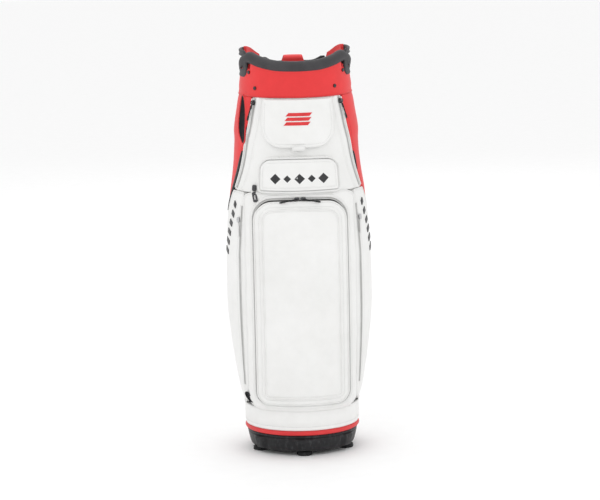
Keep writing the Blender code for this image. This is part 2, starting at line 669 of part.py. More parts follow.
def build_valuables_slider(level):
    across = -VALUABLES_HALF - PULLER_BESIDE
    spot = frame_at(upper_place, across, level, 0.0032)
    block("valuables_slider", spot, (0.0100, 0.014, 0.0040), "dark_metal")
    hinge = spot @ Vector((0, -0.0086, 0.0010))
    lip = front_place(hinge.x + 0.004, SPLIT - 0.022, PULLER_OVER)
    down = (lip - hinge).normalized()
    side = Vector((1, 0, 0))
    out = side.cross(down).normalized()
    if out.y > 0:
        out = -out
    side = down.cross(out)
    turned_to = Matrix((side, -down, out)).transposed().to_4x4()
    turned_to.translation = hinge
    length, width = 0.026, 0.0100
    frame = block("valuables_puller", turned_to, (width, length, 0.0022), "dark_metal", (0, -length / 2 - 0.0006, 0))
    cutter = block("puller_slot", turned_to, (0.0034, length * 0.52, 0.010), "dark_metal", (0, -length * 0.55, 0))
    cut(frame, cutter)
    set_origin(frame, hinge)


def build_flap_pocket(panel):
    top = COLLAR_SEAM - 0.004
    low = top - FLAP_HEIGHT
    rim = outline(-FLAP_HALF + 0.002, FLAP_HALF - 0.002, low + 0.004, top - 0.001, FLAP_RADIUS, 0.003)
    inside = outline(-FLAP_HALF + 0.006, FLAP_HALF - 0.006, low + 0.008, top - 0.005, FLAP_RADIUS - 0.004, 0.002)
    loft("flap_pocket", [spread(rim, upper_place, FLAP_DEPTH), spread(rim, upper_place, SEAT),
                         spread(inside, upper_place, SEAT), spread(inside, upper_place, FLAP_DEPTH)],
         "white_leather", wrap=True)
    window = outline(-FLAP_HALF + 0.012, FLAP_HALF - 0.012, low + 0.014, top - 0.010, FLAP_RADIUS - 0.010, 0.005)
    cut(panel, pad("flap_window", window, upper_place, -2 * SKIN, 3 * SKIN, "black_lining"), "MANIFOLD")
    shape = outline(-FLAP_HALF, FLAP_HALF, low, top, FLAP_RADIUS, 0.003)
    flap = pad("flap", shape, upper_place, FLAP_DEPTH + PLAY, SKIN, "white_leather")
    hinge = upper_place(0, top, FLAP_DEPTH + PLAY + SKIN)
    set_origin(flap, hinge)
    spot = frame_at(upper_place, 0, low - 0.001, FLAP_DEPTH + PLAY + GAP + SKIN + TAB_SIZE[2] / 2)
    tab = block("flap_tab", spot, TAB_SIZE, "white_leather", bevel=0.15)
    set_origin(tab, hinge)


def build_side(side, word):
    """The white side pocket, with its zip near the front edge, and the upper zip's slider."""
    top, low = SPLIT - PLAY, BAND_TOP + 0.003
    seam = SEAM_HALF + 0.0012
    corner = seam + CORNER_STEP
    corner_angle = math.degrees(math.asin(seam / corner))
    reach = SIDE_HALF

    def rear_at(_z):
        return SIDE_REAR_ANGLE

    def seam_at(z):
        return math.degrees(math.asin(seam / side_radius(z)))

    def back_radius(u, _z):
        return POCKET_RADIUS + (corner - POCKET_RADIUS) * max(0.0, -u) ** 3

    place = strip(side, lambda _u, z: side_radius(z), seam_at, rear_at)
    back = strip(side, back_radius, lambda _z: corner_angle, rear_at)
    outer = outline(-reach, reach, low, top, SIDE_RADIUS, SIDE_RADIUS / 3)
    inner = outline(-reach + WALL, reach - WALL, low + WALL, top - WALL, SIDE_RADIUS - WALL, SIDE_RADIUS / 3)
    outer, inner = ([(u / reach, v) for u, v in shape] for shape in (outer, inner))
    tray(f"side_pocket_{word}", outer, inner, place, spread(outer, back, 0), spread(inner, back, 0), "white_leather")
    spot = frame_at(place, -0.80, top - 0.060, 0.0030)
    block(f"side_slider_{word}", spot, (0.009, 0.012, 0.0036), "dark_metal")
    block(f"side_pull_{word}", spot, (0.0046, 0.030, 0.0030), "black_rubber", (0, -0.0216, 0.0004), bevel=0.3)
    across = side * (math.radians(split_angle(COLLAR_SEAM)) * REFERENCE_RADIUS - ZIP_INSET)
    spot = frame_at(upper_place, across, COLLAR_SEAM - 0.012, 0.0029)
    block(f"corner_slider_{word}", spot, (0.008, 0.011, 0.0034), "dark_metal")
    block(f"corner_pull_{word}", spot, (0.0040, 0.024, 0.0028), "black_rubber", (0, -0.0180, 0.0003), bevel=0.3)


def build_red_side(side, name):
    """A red upper side: the left one has a slanted mouth and is a drop-in sleeve."""
    top, low = COLLAR_SEAM - GAP, SPLIT + 2 * GAP
    reach = RED_HALF

    def front_at(z):
        return split_angle(z) + SPLIT_GAP

    def rear_at(_z):
        return SIDE_REAR_ANGLE

    place = strip(side, lambda _u, z: side_radius(z), front_at, rear_at)
    back = strip(side, lambda _u, _z: POCKET_RADIUS, front_at, rear_at)
    outer = outline(-reach, reach, low, top, 0.004, 0.004, upright=RED_STEPS)
    inner = outline(-reach + 2 * WALL, reach - 2 * WALL, low + WALL, top - WALL, 0.004, 0.004, upright=RED_STEPS)
    outer, inner = ([(u / reach, v) for u, v in shape] for shape in (outer, inner))
    panel = tray(name, outer, inner, place, spread(outer, back, 0), spread(inner, back, 0), "red_leather")
    if side > 0:
        return
    centre = polar(-MOUTH_ANGLE, side_radius(top - 0.055) - 0.004, top - 0.058)
    matrix = Matrix.Translation(centre) @ Matrix.Rotation(math.radians(-MOUTH_ANGLE), 4, "Z")
    matrix = matrix @ Matrix.Rotation(math.radians(-MOUTH_LEAN), 4, "Y")
    turns = [2 * math.pi * k / 20 for k in range(20)]
    rim = [(MOUTH_SIZE[0] / 2 * math.cos(t), MOUTH_SIZE[1] / 2 * math.sin(t)) for t in turns]
    loops = [[matrix @ Vector((x, y, z)) for x, z in rim] for y in (-0.020, 0.012)]
    ends = [matrix @ Vector((0, y, 0)) for y in (-0.020, 0.012)]
    cut(panel, loft("mouth_cutter", loops, "red_leather", first=ends[0], last=ends[1]))


def build_back():
    half = math.radians(180 - BACK_ANGLE) * REFERENCE_RADIUS
    low, top = BAND_TOP + 0.003, COLLAR_SEAM - GAP

    def place(u, z, off):
        return polar(180 - math.degrees(u / REFERENCE_RADIUS), COVER_RADIUS + BACK_DEPTH + off, z)

    def back(u, z, off):
        return polar(180 - math.degrees(u / REFERENCE_RADIUS), POCKET_RADIUS + off, z)

    outer = outline(-half, half, low, top, 0.012, 0.004)
    inner = outline(-half + WALL, half - WALL, low + WALL, top - WALL, 0.010, 0.003)
    tray("back_cover", outer, inner, place, spread(outer, back, 0), spread(inner, back, 0), "white_leather")
    build_strap(COVER_RADIUS + BACK_DEPTH)


def build_strap(surface):
    high, low = COLLAR_SEAM - STRAP_TOP, BAND_TOP + STRAP_LOW
    for word, level, hang in (("upper", high, -1), ("lower", low, 1)):
        spot = Matrix.Translation((0, surface + 0.0042, level - hang * 0.016))
        block(f"strap_anchor_{word}", spot @ Matrix.Rotation(math.radians(90), 4, "X"), (0.036, 0.040, 0.0070),
              "black_lining", bevel=0.1)
        hub = Vector((0, surface + 0.0042, level + hang * (RING_RADIUS + RING_WIRE - 0.016 + 0.0215)))
        turns = [2 * math.pi * k / 20 for k in range(20)]
        path = [hub + RING_RADIUS * Vector((math.cos(t), 0, math.sin(t))) for t in turns]
        sweep(f"strap_ring_{word}", path, RING_WIRE, "steel", sides=8, closed=True)
    steps = 20
    start, end = high - 0.046, low + 0.046
    door_middle = (BAND_TOP + DOOR_RISE + SPLIT - DOOR_DROP + CROWN) / 2
    reach = -front_place(0, door_middle, 0).y
    deepest = reach - surface - STRAP_STANDOFF - STRAP_THICKNESS  # as far behind the axis as the door is before it
    loops = []
    for i in range(steps + 1):
        t = i / steps
        bow = math.sin(math.pi * t) ** 0.7 * deepest
        thick = STRAP_THICKNESS * (0.35 + 0.65 * math.sin(math.pi * min(1, max(0, 1.3 * t - 0.15))) ** 0.5)
        half = STRAP_WIDTH / 2 * (0.62 + 0.38 * math.sin(math.pi * t) ** 0.6)
        y, z = surface + STRAP_STANDOFF + bow, start + (end - start) * t
        edge = thick * 0.3
        section = [(-half, edge), (-half, thick - edge), (-half + edge, thick), (half - edge, thick),
                   (half, thick - edge), (half, edge), (half - edge, 0), (-half + edge, 0)]
        loops.append([Vector((x, y + d, z)) for x, d in section])
    first = sum(loops[0], Vector()) / 8
    last = sum(loops[-1], Vector()) / 8
    loft("shoulder_strap", loops, "black_lining", first=first, last=last)


def build_vent():
    def place(u, z, off):
        turn = math.radians(-60) + u / REFERENCE_RADIUS
        return polar(math.degrees(turn), side_radius(z) + off, z)

    spot = frame_at(place, 0, BAND_TOP + 0.022, 0.0044)
    spot = spot @ Matrix.Rotation(math.radians(-24), 4, "Z")
    turns = [2 * math.pi * k / 20 for k in range(20)]
    loops = []
    for scale, z in ((1, 0), (1, 0.0012), (0.8, VENT_SIZE[2])):
        loops.append([spot @ Vector((VENT_SIZE[0] / 2 * scale * math.cos(t), VENT_SIZE[1] / 2 * scale * math.sin(t), z))
                      for t in turns])
    ends = [spot @ Vector((0, 0, z)) for z in (0, VENT_SIZE[2])]
    loft("vent", loops, "black_rubber", first=ends[0], last=ends[1])


def main():
    for obj in list(bpy.data.objects):
        bpy.data.objects.remove(obj, do_unlink=True)
    build_base()
    build_core()
    build_dividers()
    build_collar()
    build_lift_handles()
    build_studs()
    build_rear_handle()
    build_front_pocket()
    build_front_sliders()
    build_upper_front()
    for side, word in ((-1, "left"), (1, "right")):
        build_side(side, word)
        build_red_side(side, "bottle_sleeve" if side < 0 else "red_pocket")
    build_back()
    build_vent()


main()
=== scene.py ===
import math

import bpy
from mathutils import Matrix, Vector, noise


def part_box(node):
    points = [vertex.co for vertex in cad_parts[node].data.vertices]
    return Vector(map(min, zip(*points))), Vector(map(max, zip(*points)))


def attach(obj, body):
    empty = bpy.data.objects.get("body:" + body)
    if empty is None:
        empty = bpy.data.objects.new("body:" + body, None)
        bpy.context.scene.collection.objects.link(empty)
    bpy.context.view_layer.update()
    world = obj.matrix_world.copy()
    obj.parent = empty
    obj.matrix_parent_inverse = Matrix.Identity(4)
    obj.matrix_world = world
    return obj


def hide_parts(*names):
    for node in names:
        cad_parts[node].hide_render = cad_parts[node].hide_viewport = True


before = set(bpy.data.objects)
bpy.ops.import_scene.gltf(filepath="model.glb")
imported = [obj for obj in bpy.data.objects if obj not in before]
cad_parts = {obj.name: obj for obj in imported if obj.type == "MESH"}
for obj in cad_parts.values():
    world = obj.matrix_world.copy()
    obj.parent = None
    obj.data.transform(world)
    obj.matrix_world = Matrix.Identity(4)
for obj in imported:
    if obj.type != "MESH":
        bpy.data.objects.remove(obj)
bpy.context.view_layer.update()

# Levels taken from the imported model.
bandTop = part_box("base_band")[1].z
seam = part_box("body_cover")[1].z + 0.0004
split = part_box("upper_front")[0].z - 0.0004
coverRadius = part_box("body_cover")[1].x
bodyLength = seam - bandTop
reference = 0.130
seamHalf = coverRadius + 0.0047
lipHalf = seamHalf - 0.0100
doorHalf = lipHalf - 0.0070

# How far the fabric stands off the cover, at shares of the body's length.
sideBulge = [(0, 0.0122), (0.07, 0.0231), (0.19, 0.0357), (0.31, 0.0440), (0.44, 0.0445), (0.58, 0.0407),
             (0.69, 0.0330), (0.77, 0.0253), (0.85, 0.0213), (0.89, 0.0216), (0.96, 0.0143), (1, 0.0104)]
frontBulge = [(0, 0.0180), (0.14, 0.0400), (0.32, 0.0537), (0.50, 0.0537), (0.62, 0.0460), (0.70, 0.0360)]
upperBulge = [(0.68, 0.0290), (0.80, 0.0235), (0.90, 0.0165), (1, 0.0085)]
upperEdge = [(0.68, 0.0330), (0.80, 0.0232), (0.90, 0.0178), (1, 0.0098)]
splitLine = [(0.50, 124), (0.577, 105), (0.62, 92.5), (0.70, 74), (0.76, 65.5), (0.81, 61.5), (0.854, 59.3),
             (0.912, 55), (1, 51.5)]
frontCurve = 0.408 / coverRadius


def curveThrough(stations, t):
    t = min(max(t, stations[0][0]), stations[-1][0])
    last = len(stations) - 1
    k = next(i for i in range(last) if t <= stations[i + 1][0])

    def slope(i):
        a, b = stations[max(i - 1, 0)], stations[min(i + 1, last)]
        return (b[1] - a[1]) / (b[0] - a[0])

    (t0, y0), (t1, y1) = stations[k], stations[k + 1]
    width = t1 - t0
    s = (t - t0) / width
    return (y0 * (2 * s ** 3 - 3 * s ** 2 + 1) + slope(k) * width * (s ** 3 - 2 * s ** 2 + s)
            + y1 * (3 * s ** 2 - 2 * s ** 3) + slope(k + 1) * width * (s ** 3 - s ** 2))


def share(z):
    return (z - bandTop) / bodyLength


def polar(angle, r, z):
    turn = math.radians(angle)
    return Vector((r * math.sin(turn), -r * math.cos(turn), z))


def sideRadius(z):
    return coverRadius + curveThrough(sideBulge, share(z))


def splitAngle(z):
    return curveThrough(splitLine, share(z))


def frontPlace(x, z, off):
    return Vector((x, -(coverRadius + curveThrough(frontBulge, share(z)) - frontCurve * x * x) - off, z))


def upperPlace(u, z, off):
    turn = u / reference
    front = coverRadius + curveThrough(upperBulge, share(z))
    edge = coverRadius + curveThrough(upperEdge, share(z))
    return polar(math.degrees(turn), front * math.cos(turn) ** 2 + edge * math.sin(turn) ** 2 + off, z)


def stripPlace(side, reach, frontAt, rearAt, radiusAt=sideRadius):
    # Surface between two angles that change with height; u runs from -reach in front to reach behind.
    def place(u, z, off):
        front, rear = frontAt(z), rearAt(z)
        return polar(side * (front + (rear - front) * (u / reach + 1) / 2), radiusAt(z) + off, z)
    return place


def outwardAt(place, u, v, step=0.002):
    along = place(u + step, v, 0) - place(u - step, v, 0)
    up = place(u, v + step, 0) - place(u, v - step, 0)
    out = along.cross(up).normalized()
    return out if out.dot(place(u, v, 0.01) - place(u, v, 0)) > 0 else -out


# Rounded-rectangle outlines in (u, v).
def shapeOf(half, low, high, rLow, rHigh, crown=0.0, middle=0.0):
    return dict(half=half, low=low, high=high, rLow=rLow, rHigh=rHigh, crown=crown, middle=middle)


def inset(shape, d):
    return dict(shape, half=shape["half"] - d, low=shape["low"] + d, high=shape["high"] - d,
                rLow=max(shape["rLow"] - d, 0.0012), rHigh=max(shape["rHigh"] - d, 0.0012))


def widthAt(shape, v):
    half = shape["half"]
    for r, gap in ((shape["rLow"], v - shape["low"]), (shape["rHigh"], shape["high"] - v)):
        if gap < r:
            return half - r + math.sqrt(max(r * r - (r - gap) ** 2, 0))
    return half


def crowned(shape, u, v):
    lift = max(0.0, (v - shape["low"]) / (shape["high"] - shape["low"]))
    return v + shape["crown"] * (1 - (u / shape["half"]) ** 2) * lift ** 3


def loopOf(shape, flat=30, upright=50, arc=10):
    # A closed loop of (u, v), counter-clockwise from the lower left, with a fixed number of points.
    h, lo, hi, a, b = shape["half"], shape["low"], shape["high"], shape["rLow"], shape["rHigh"]
    loop = []

    def corner(cx, cy, r, start):
        loop.extend((cx + r * math.cos(math.radians(start + 90 * i / arc)),
                     cy + r * math.sin(math.radians(start + 90 * i / arc))) for i in range(arc))

    def run(x0, y0, x1, y1, steps):
        loop.extend((x0 + (x1 - x0) * i / steps, y0 + (y1 - y0) * i / steps) for i in range(steps))

    run(-h + a, lo, h - a, lo, flat)
    corner(h - a, lo + a, a, -90)
    run(h, lo + a, h, hi - b, upright)
    corner(h - b, hi - b, b, 0)
    run(h - b, hi, -h + b, hi, flat)
    corner(-h + b, hi - b, b, 90)
    run(-h, hi - b, -h, lo + a, upright)
    corner(-h + a, lo + a, a, 180)
    return [(u + shape["middle"], crowned(shape, u, v)) for u, v in loop]


def laid(loop, place, off):
    return [place(u, v, off) for u, v in loop]


# Mesh makers.
def newPiece(name, verts, faces, material, smooth=True, body="bag", hides=(), slotName=None, flip=False):
    mesh = bpy.data.meshes.new(name)
    mesh.from_pydata([tuple(v) for v in verts], [], [tuple(reversed(f)) for f in faces] if flip else faces)
    mesh.validate()
    mesh.update()
    obj = bpy.data.objects.new(name, mesh)
    bpy.context.scene.collection.objects.link(obj)
    mesh.materials.append(material)
    for face in mesh.polygons:
        face.use_smooth = smooth
    settle(obj, body, hides)
    return obj


def settle(obj, body, hides=()):
    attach(obj, body)
    if hides:
        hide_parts(*hides)


def outwards(obj):
    # Turns every face of a closed piece outwards.
    import bmesh
    bm = bmesh.new()
    bm.from_mesh(obj.data)
    bmesh.ops.remove_doubles(bm, verts=bm.verts, dist=1e-6)
    bmesh.ops.recalc_face_normals(bm, faces=bm.faces)
    bm.to_mesh(obj.data)
    bm.free()
    return obj


def spread(t, pull=0.55):
    return t - pull * math.sin(2 * math.pi * t) / (2 * math.pi)


def softPanel(name, shape, place, puff, material, cols=44, rows=60, back=None, pull=0.55, **facts):
    # A closed pad over a rounded rectangle; puff(u, v, d) is its height at d metres from its edge.
    # With no back given, its sides run in to the cover.
    def inward(u, v):
        p = place(u, v, 0)
        return back if back is not None else coverRadius + 0.0012 - math.hypot(p.x, p.y)

    verts, faces = [], []
    low, high = shape["low"], shape["high"]
    for layer in (0, 1):
        for i in range(rows + 1):
            v = low + (high - low) * spread(i / rows, pull)
            w = widthAt(shape, min(max(v, low + 1e-5), high - 1e-5))
            for j in range(cols + 1):
                u = -w + 2 * w * spread(j / cols, pull)
                d = max(0.0, min(w - abs(u), v - low, high - v))
                off = inward(u + shape["middle"], v) if layer else puff(u, v, d)
                verts.append(place(u + shape["middle"], crowned(shape, u, v), off))
    size = (rows + 1) * (cols + 1)
    at = lambda i, j, layer: layer * size + i * (cols + 1) + j
    for i in range(rows):
        for j in range(cols):
            faces.append((at(i, j, 0), at(i, j + 1, 0), at(i + 1, j + 1, 0), at(i + 1, j, 0)))
            faces.append((at(i, j, 1), at(i + 1, j, 1), at(i + 1, j + 1, 1), at(i, j + 1, 1)))
    rim = ([(0, j) for j in range(cols)] + [(i, cols) for i in range(rows)]
           + [(rows, j) for j in range(cols, 0, -1)] + [(i, 0) for i in range(rows, 0, -1)])
    for k, a in enumerate(rim):
        b = rim[(k + 1) % len(rim)]
        faces.append((at(*a, 0), at(*a, 1), at(*b, 1), at(*b, 0)))
    return outwards(newPiece(name, verts, faces, material, **facts))


def ringLoft(name, loops, material, wrap=True, **facts):
    # Joins closed loops of equal length in order; wrap joins the last to the first, for a closed tube.
    count = len(loops[0])
    verts = [p for loop in loops for p in loop]
    faces = []
    for k in range(len(loops) if wrap else len(loops) - 1):
        a, b = k * count, (k + 1) % len(loops) * count
        for i in range(count):
            n = (i + 1) % count
            faces.append((a + i, a + n, b + n, b + i))
    if not wrap:
        faces += [tuple(range(count))[::-1], tuple(range((len(loops) - 1) * count, len(loops) * count))]
    return outwards(newPiece(name, verts, faces, material, **facts))


def sweep(points, section, closed, up=None):
    # Loops of a section (a, b) carried along points; up(i) gives the direction of b.
    loops, count = [], len(points)
    for i, p in enumerate(points):
        if closed:
            tangent = (points[(i + 1) % count] - points[i - 1]).normalized()
        else:
            tangent = (points[min(i + 1, count - 1)] - points[max(i - 1, 0)]).normalized()
        rise = (up(i) if up else Vector((0, 0, 1)))
        rise = (rise - tangent * rise.dot(tangent)).normalized()
        across = tangent.cross(rise)
        loops.append([p + across * a + rise * b for a, b in section])
    return loops


def disc(radius, sides=10, squashed=1.0):
    return [(radius * math.cos(2 * math.pi * k / sides), squashed * radius * math.sin(2 * math.pi * k / sides))
            for k in range(sides)]


def sweptPiece(name, points, section, material, closed=False, up=None, **facts):
    return ringLoft(name, sweep(points, section, closed, up), material, wrap=closed, **facts)


def ripple(u, v, size, seed=0.0):
    return noise.noise(Vector((u / size, v / size, seed)))


# Geometry Nodes: one small part repeated along a path.
def repeatTree(name, kind):
    tree = bpy.data.node_groups.new(name, "GeometryNodeTree")
    add = tree.interface.new_socket
    add("Path", in_out="INPUT", socket_type="NodeSocketGeometry")
    for label, value in (("Pitch", 0.004), ("Width", 0.001), ("Length", 0.003), ("Height", 0.001)):
        add(label, in_out="INPUT", socket_type="NodeSocketFloat").default_value = value
    add("Finish", in_out="INPUT", socket_type="NodeSocketMaterial")
    add("Repeats", in_out="OUTPUT", socket_type="NodeSocketGeometry")
    new, link = tree.nodes.new, tree.links.new
    given, out = new("NodeGroupInput"), new("NodeGroupOutput")
    curve, even = new("GeometryNodeMeshToCurve"), new("GeometryNodeResampleCurve")
    even.mode = "LENGTH"
    link(given.outputs["Path"], curve.inputs["Mesh"])
    link(curve.outputs["Curve"], even.inputs["Curve"])
    link(given.outputs["Pitch"], even.inputs["Length"])
    points = new("GeometryNodeCurveToPoints")
    points.mode = "EVALUATED"
    link(even.outputs["Curve"], points.inputs["Curve"])
    outward = new("GeometryNodeInputNamedAttribute")
    outward.data_type = "FLOAT_VECTOR"
    outward.inputs["Name"].default_value = "outward"
    turn = new("FunctionNodeAlignRotationToVector")
    turn.axis, turn.pivot_axis = "X", "Z"
    link(points.outputs["Rotation"], turn.inputs["Rotation"])
    link(outward.outputs["Attribute"], turn.inputs["Vector"])
    size = new("ShaderNodeCombineXYZ")
    for socket, axis in (("Height", "X"), ("Width", "Y"), ("Length", "Z")):
        link(given.outputs[socket], size.inputs[axis])
    if kind == "thread":
        bead = new("GeometryNodeMeshIcoSphere")
        bead.inputs["Radius"].default_value, bead.inputs["Subdivisions"].default_value = 0.5, 1
    else:
        bead = new("GeometryNodeMeshCube")
        bead.inputs["Size"].default_value = (1, 1, 1)
    place = new("GeometryNodeInstanceOnPoints")
    link(points.outputs["Points"], place.inputs["Points"])
    link(bead.outputs["Mesh"], place.inputs["Instance"])
    link(turn.outputs["Rotation"], place.inputs["Rotation"])
    link(size.outputs["Vector"], place.inputs["Scale"])
    if kind == "teeth":  # every other tooth stands to the other side
        index, half, shift = new("GeometryNodeInputIndex"), new("ShaderNodeMath"), new("ShaderNodeMath")
        half.operation, half.inputs[1].default_value = "MODULO", 2.0
        shift.operation, shift.inputs[1].default_value = "SUBTRACT", 0.5
        offset, width = new("ShaderNodeCombineXYZ"), new("ShaderNodeMath")
        width.operation = "MULTIPLY"
        move = new("GeometryNodeTranslateInstances")
        link(index.outputs["Index"], half.inputs[0])
        link(half.outputs["Value"], shift.inputs[0])
        link(shift.outputs["Value"], width.inputs[0])
        link(given.outputs["Width"], width.inputs[1])
        link(width.outputs["Value"], offset.inputs["Y"])
        link(place.outputs["Instances"], move.inputs["Instances"])
        link(offset.outputs["Vector"], move.inputs["Translation"])
        place = move
    real, paint = new("GeometryNodeRealizeInstances"), new("GeometryNodeSetMaterial")
    link(place.outputs["Instances"], real.inputs["Geometry"])
    link(real.outputs["Geometry"], paint.inputs["Geometry"])
    link(given.outputs["Finish"], paint.inputs["Material"])
    link(paint.outputs["Geometry"], out.inputs["Repeats"])
    return tree


threadTree, teethTree = repeatTree("threadRun", "thread"), repeatTree("zipTeeth", "teeth")


def repeated(name, tree, paths, material, pitch, width, length, height, body="bag", slotName=None):
    # paths: lists of (point, outward direction); a closed path repeats its first point at its end.
    verts, edges, outward = [], [], []
    for path in paths:
        start = len(verts)
        verts += [tuple(p) for p, _ in path]
        outward += [tuple(n) for _, n in path]
        edges += [(i, i + 1) for i in range(start, len(verts) - 1)]
    mesh = bpy.data.meshes.new(name + "Path")
    mesh.from_pydata(verts, edges, [])
    marks = mesh.attributes.new("outward", "FLOAT_VECTOR", "POINT")
    marks.data.foreach_set("vector", [c for n in outward for c in n])
    source = bpy.data.objects.new(name + "Path", mesh)
    bpy.context.scene.collection.objects.link(source)
    modifier = source.modifiers.new("repeat", "NODES")
    modifier.node_group = tree
    values = dict(Pitch=pitch, Width=width, Length=length, Height=height, Finish=material)
    for item in tree.interface.items_tree:
        if item.item_type == "SOCKET" and item.in_out == "INPUT" and item.name in values:
            modifier[item.identifier] = values[item.name]
    graph = bpy.context.evaluated_depsgraph_get()
    graph.update()
    made = bpy.data.meshes.new_from_object(source.evaluated_get(graph))
    bpy.data.objects.remove(source)
    obj = bpy.data.objects.new(name, made)
    bpy.context.scene.collection.objects.link(obj)
    if not made.materials:
        made.materials.append(material)
    for face in made.polygons:
        face.use_smooth = tree is threadTree
    settle(obj, body, ())
    return obj


def pathOn(loop, place, off, closed=True, step=0.004):
    # Points just off a surface, each with its outward direction.
    line = loop + [loop[0]] if closed else loop
    dense = []
    for (u0, v0), (u1, v1) in zip(line, line[1:]):
        parts = max(1, math.ceil(math.hypot(u1 - u0, v1 - v0) / step))
        dense += [(u0 + (u1 - u0) * k / parts, v0 + (v1 - v0) * k / parts) for k in range(parts)]
    dense.append(line[-1])
    return [(place(u, v, off), outwardAt(place, u, v)) for u, v in dense]


# Shader groups shared by the finishes.
def shaderGroup(name, inputs, outputs):
    tree = bpy.data.node_groups.new(name, "ShaderNodeTree")
    for label, value in inputs:
        socket = tree.interface.new_socket(label, in_out="INPUT", socket_type="NodeSocketFloat")
        socket.default_value = value
    for label in outputs:
        tree.interface.new_socket(label, in_out="OUTPUT", socket_type="NodeSocketFloat")
    return tree, tree.nodes.new("NodeGroupInput"), tree.nodes.new("NodeGroupOutput")


def mathNode(tree, operation, a, b=None, clamp=False):
    node = tree.nodes.new("ShaderNodeMath")
    node.operation, node.use_clamp = operation, clamp
    for k, value in enumerate((a, b)):
        if value is None:
            continue
        if isinstance(value, (int, float)):
            node.inputs[k].default_value = value
        else:
            tree.links.new(value, node.inputs[k])
    return node.outputs[0]


def noiseNode(tree, vector, scale, detail=2.0, roughness=0.5):
    node = tree.nodes.new("ShaderNodeTexNoise")
    node.inputs["Detail"].default_value, node.inputs["Roughness"].default_value = detail, roughness
    if isinstance(scale, (int, float)):
        node.inputs["Scale"].default_value = scale
    else:
        tree.links.new(scale, node.inputs["Scale"])
    tree.links.new(vector, node.inputs["Vector"])
    return node.outputs["Fac"]


def grainGroup():  # pebbled leather: rounded cells under a finer crackle, with slow changes of tone
    tree, given, out = shaderGroup("pebbleGrain", [("Scale", 620.0), ("Crease", 0.35)], ["Height", "Tone", "Sheen"])
    place = tree.nodes.new("ShaderNodeTexCoord").outputs["Object"]
    cells = tree.nodes.new("ShaderNodeTexVoronoi")
    cells.feature = "SMOOTH_F1"
    cells.inputs["Smoothness"].default_value = 0.35
    tree.links.new(place, cells.inputs["Vector"])
    tree.links.new(given.outputs["Scale"], cells.inputs["Scale"])
    crackle = noiseNode(tree, place, mathNode(tree, "MULTIPLY", given.outputs["Scale"], 1.9), 3.0, 0.6)
    pebble = mathNode(tree, "SUBTRACT", 1.0, mathNode(tree, "POWER", cells.outputs["Distance"], 1.6))
    mixed = mathNode(tree, "ADD", pebble, mathNode(tree, "MULTIPLY", crackle, given.outputs["Crease"]))
    tree.links.new(mixed, out.inputs["Height"])
    broad = noiseNode(tree, place, 7.0, 4.0, 0.55)
    fine = noiseNode(tree, place, 46.0, 3.0, 0.6)
    tone = mathNode(tree, "ADD", mathNode(tree, "MULTIPLY", broad, 0.65), mathNode(tree, "MULTIPLY", fine, 0.35))
    tree.links.new(tone, out.inputs["Tone"])
    tree.links.new(mathNode(tree, "ADD", mathNode(tree, "MULTIPLY", mixed, 0.4), tone), out.inputs["Sheen"])
    return tree


def weaveGroup():  # plain weave of round yarns
    tree, given, out = shaderGroup("plainWeave", [("Threads", 1100.0)], ["Height", "Tone"])
    place = tree.nodes.new("ShaderNodeTexCoord").outputs["Object"]
    apart = tree.nodes.new("ShaderNodeSeparateXYZ")
    tree.links.new(place, apart.inputs["Vector"])
    round_ = mathNode(tree, "ARCTAN2", apart.outputs["X"], apart.outputs["Y"])
    warp = mathNode(tree, "MULTIPLY", mathNode(tree, "MULTIPLY", round_, 0.13), given.outputs["Threads"])
    weft = mathNode(tree, "MULTIPLY", apart.outputs["Z"], given.outputs["Threads"])
    product = mathNode(tree, "MULTIPLY", mathNode(tree, "SINE", warp), mathNode(tree, "SINE", weft))
    tree.links.new(mathNode(tree, "ABSOLUTE", product), out.inputs["Height"])
    tree.links.new(noiseNode(tree, place, 60.0, 3.0, 0.6), out.inputs["Tone"])
    return tree


def mouldGroup():  # fine spark-eroded texture of moulded plastic and rubber, with scuffs
    tree, given, out = shaderGroup("mouldTexture", [("Scale", 1500.0)], ["Height", "Tone", "Scuff"])
    place = tree.nodes.new("ShaderNodeTexCoord").outputs["Object"]
    tree.links.new(noiseNode(tree, place, given.outputs["Scale"], 2.0, 0.6), out.inputs["Height"])
    tree.links.new(noiseNode(tree, place, 24.0, 4.0, 0.6), out.inputs["Tone"])
    streak = tree.nodes.new("ShaderNodeMapping")
    streak.inputs["Scale"].default_value = (1.0, 1.0, 0.25)
    tree.links.new(place, streak.inputs["Vector"])
    scuff = noiseNode(tree, streak.outputs["Vector"], 140.0, 5.0, 0.7)
    tree.links.new(mathNode(tree, "MULTIPLY", mathNode(tree, "SUBTRACT", scuff, 0.52), 5.0, True), out.inputs["Scuff"])
    return tree


groups = dict(grain=grainGroup(), weave=weaveGroup(), mould=mouldGroup())


def ramp(tree, fac, low, high, start=0.3, end=0.7):
    node = tree.nodes.new("ShaderNodeValToRGB")
    stops = node.color_ramp.elements
    stops[0].position, stops[1].position = start, end
    stops[0].color, stops[1].color = (*low, 1), (*high, 1)
    tree.links.new(fac, node.inputs["Fac"])
    return node.outputs["Color"]


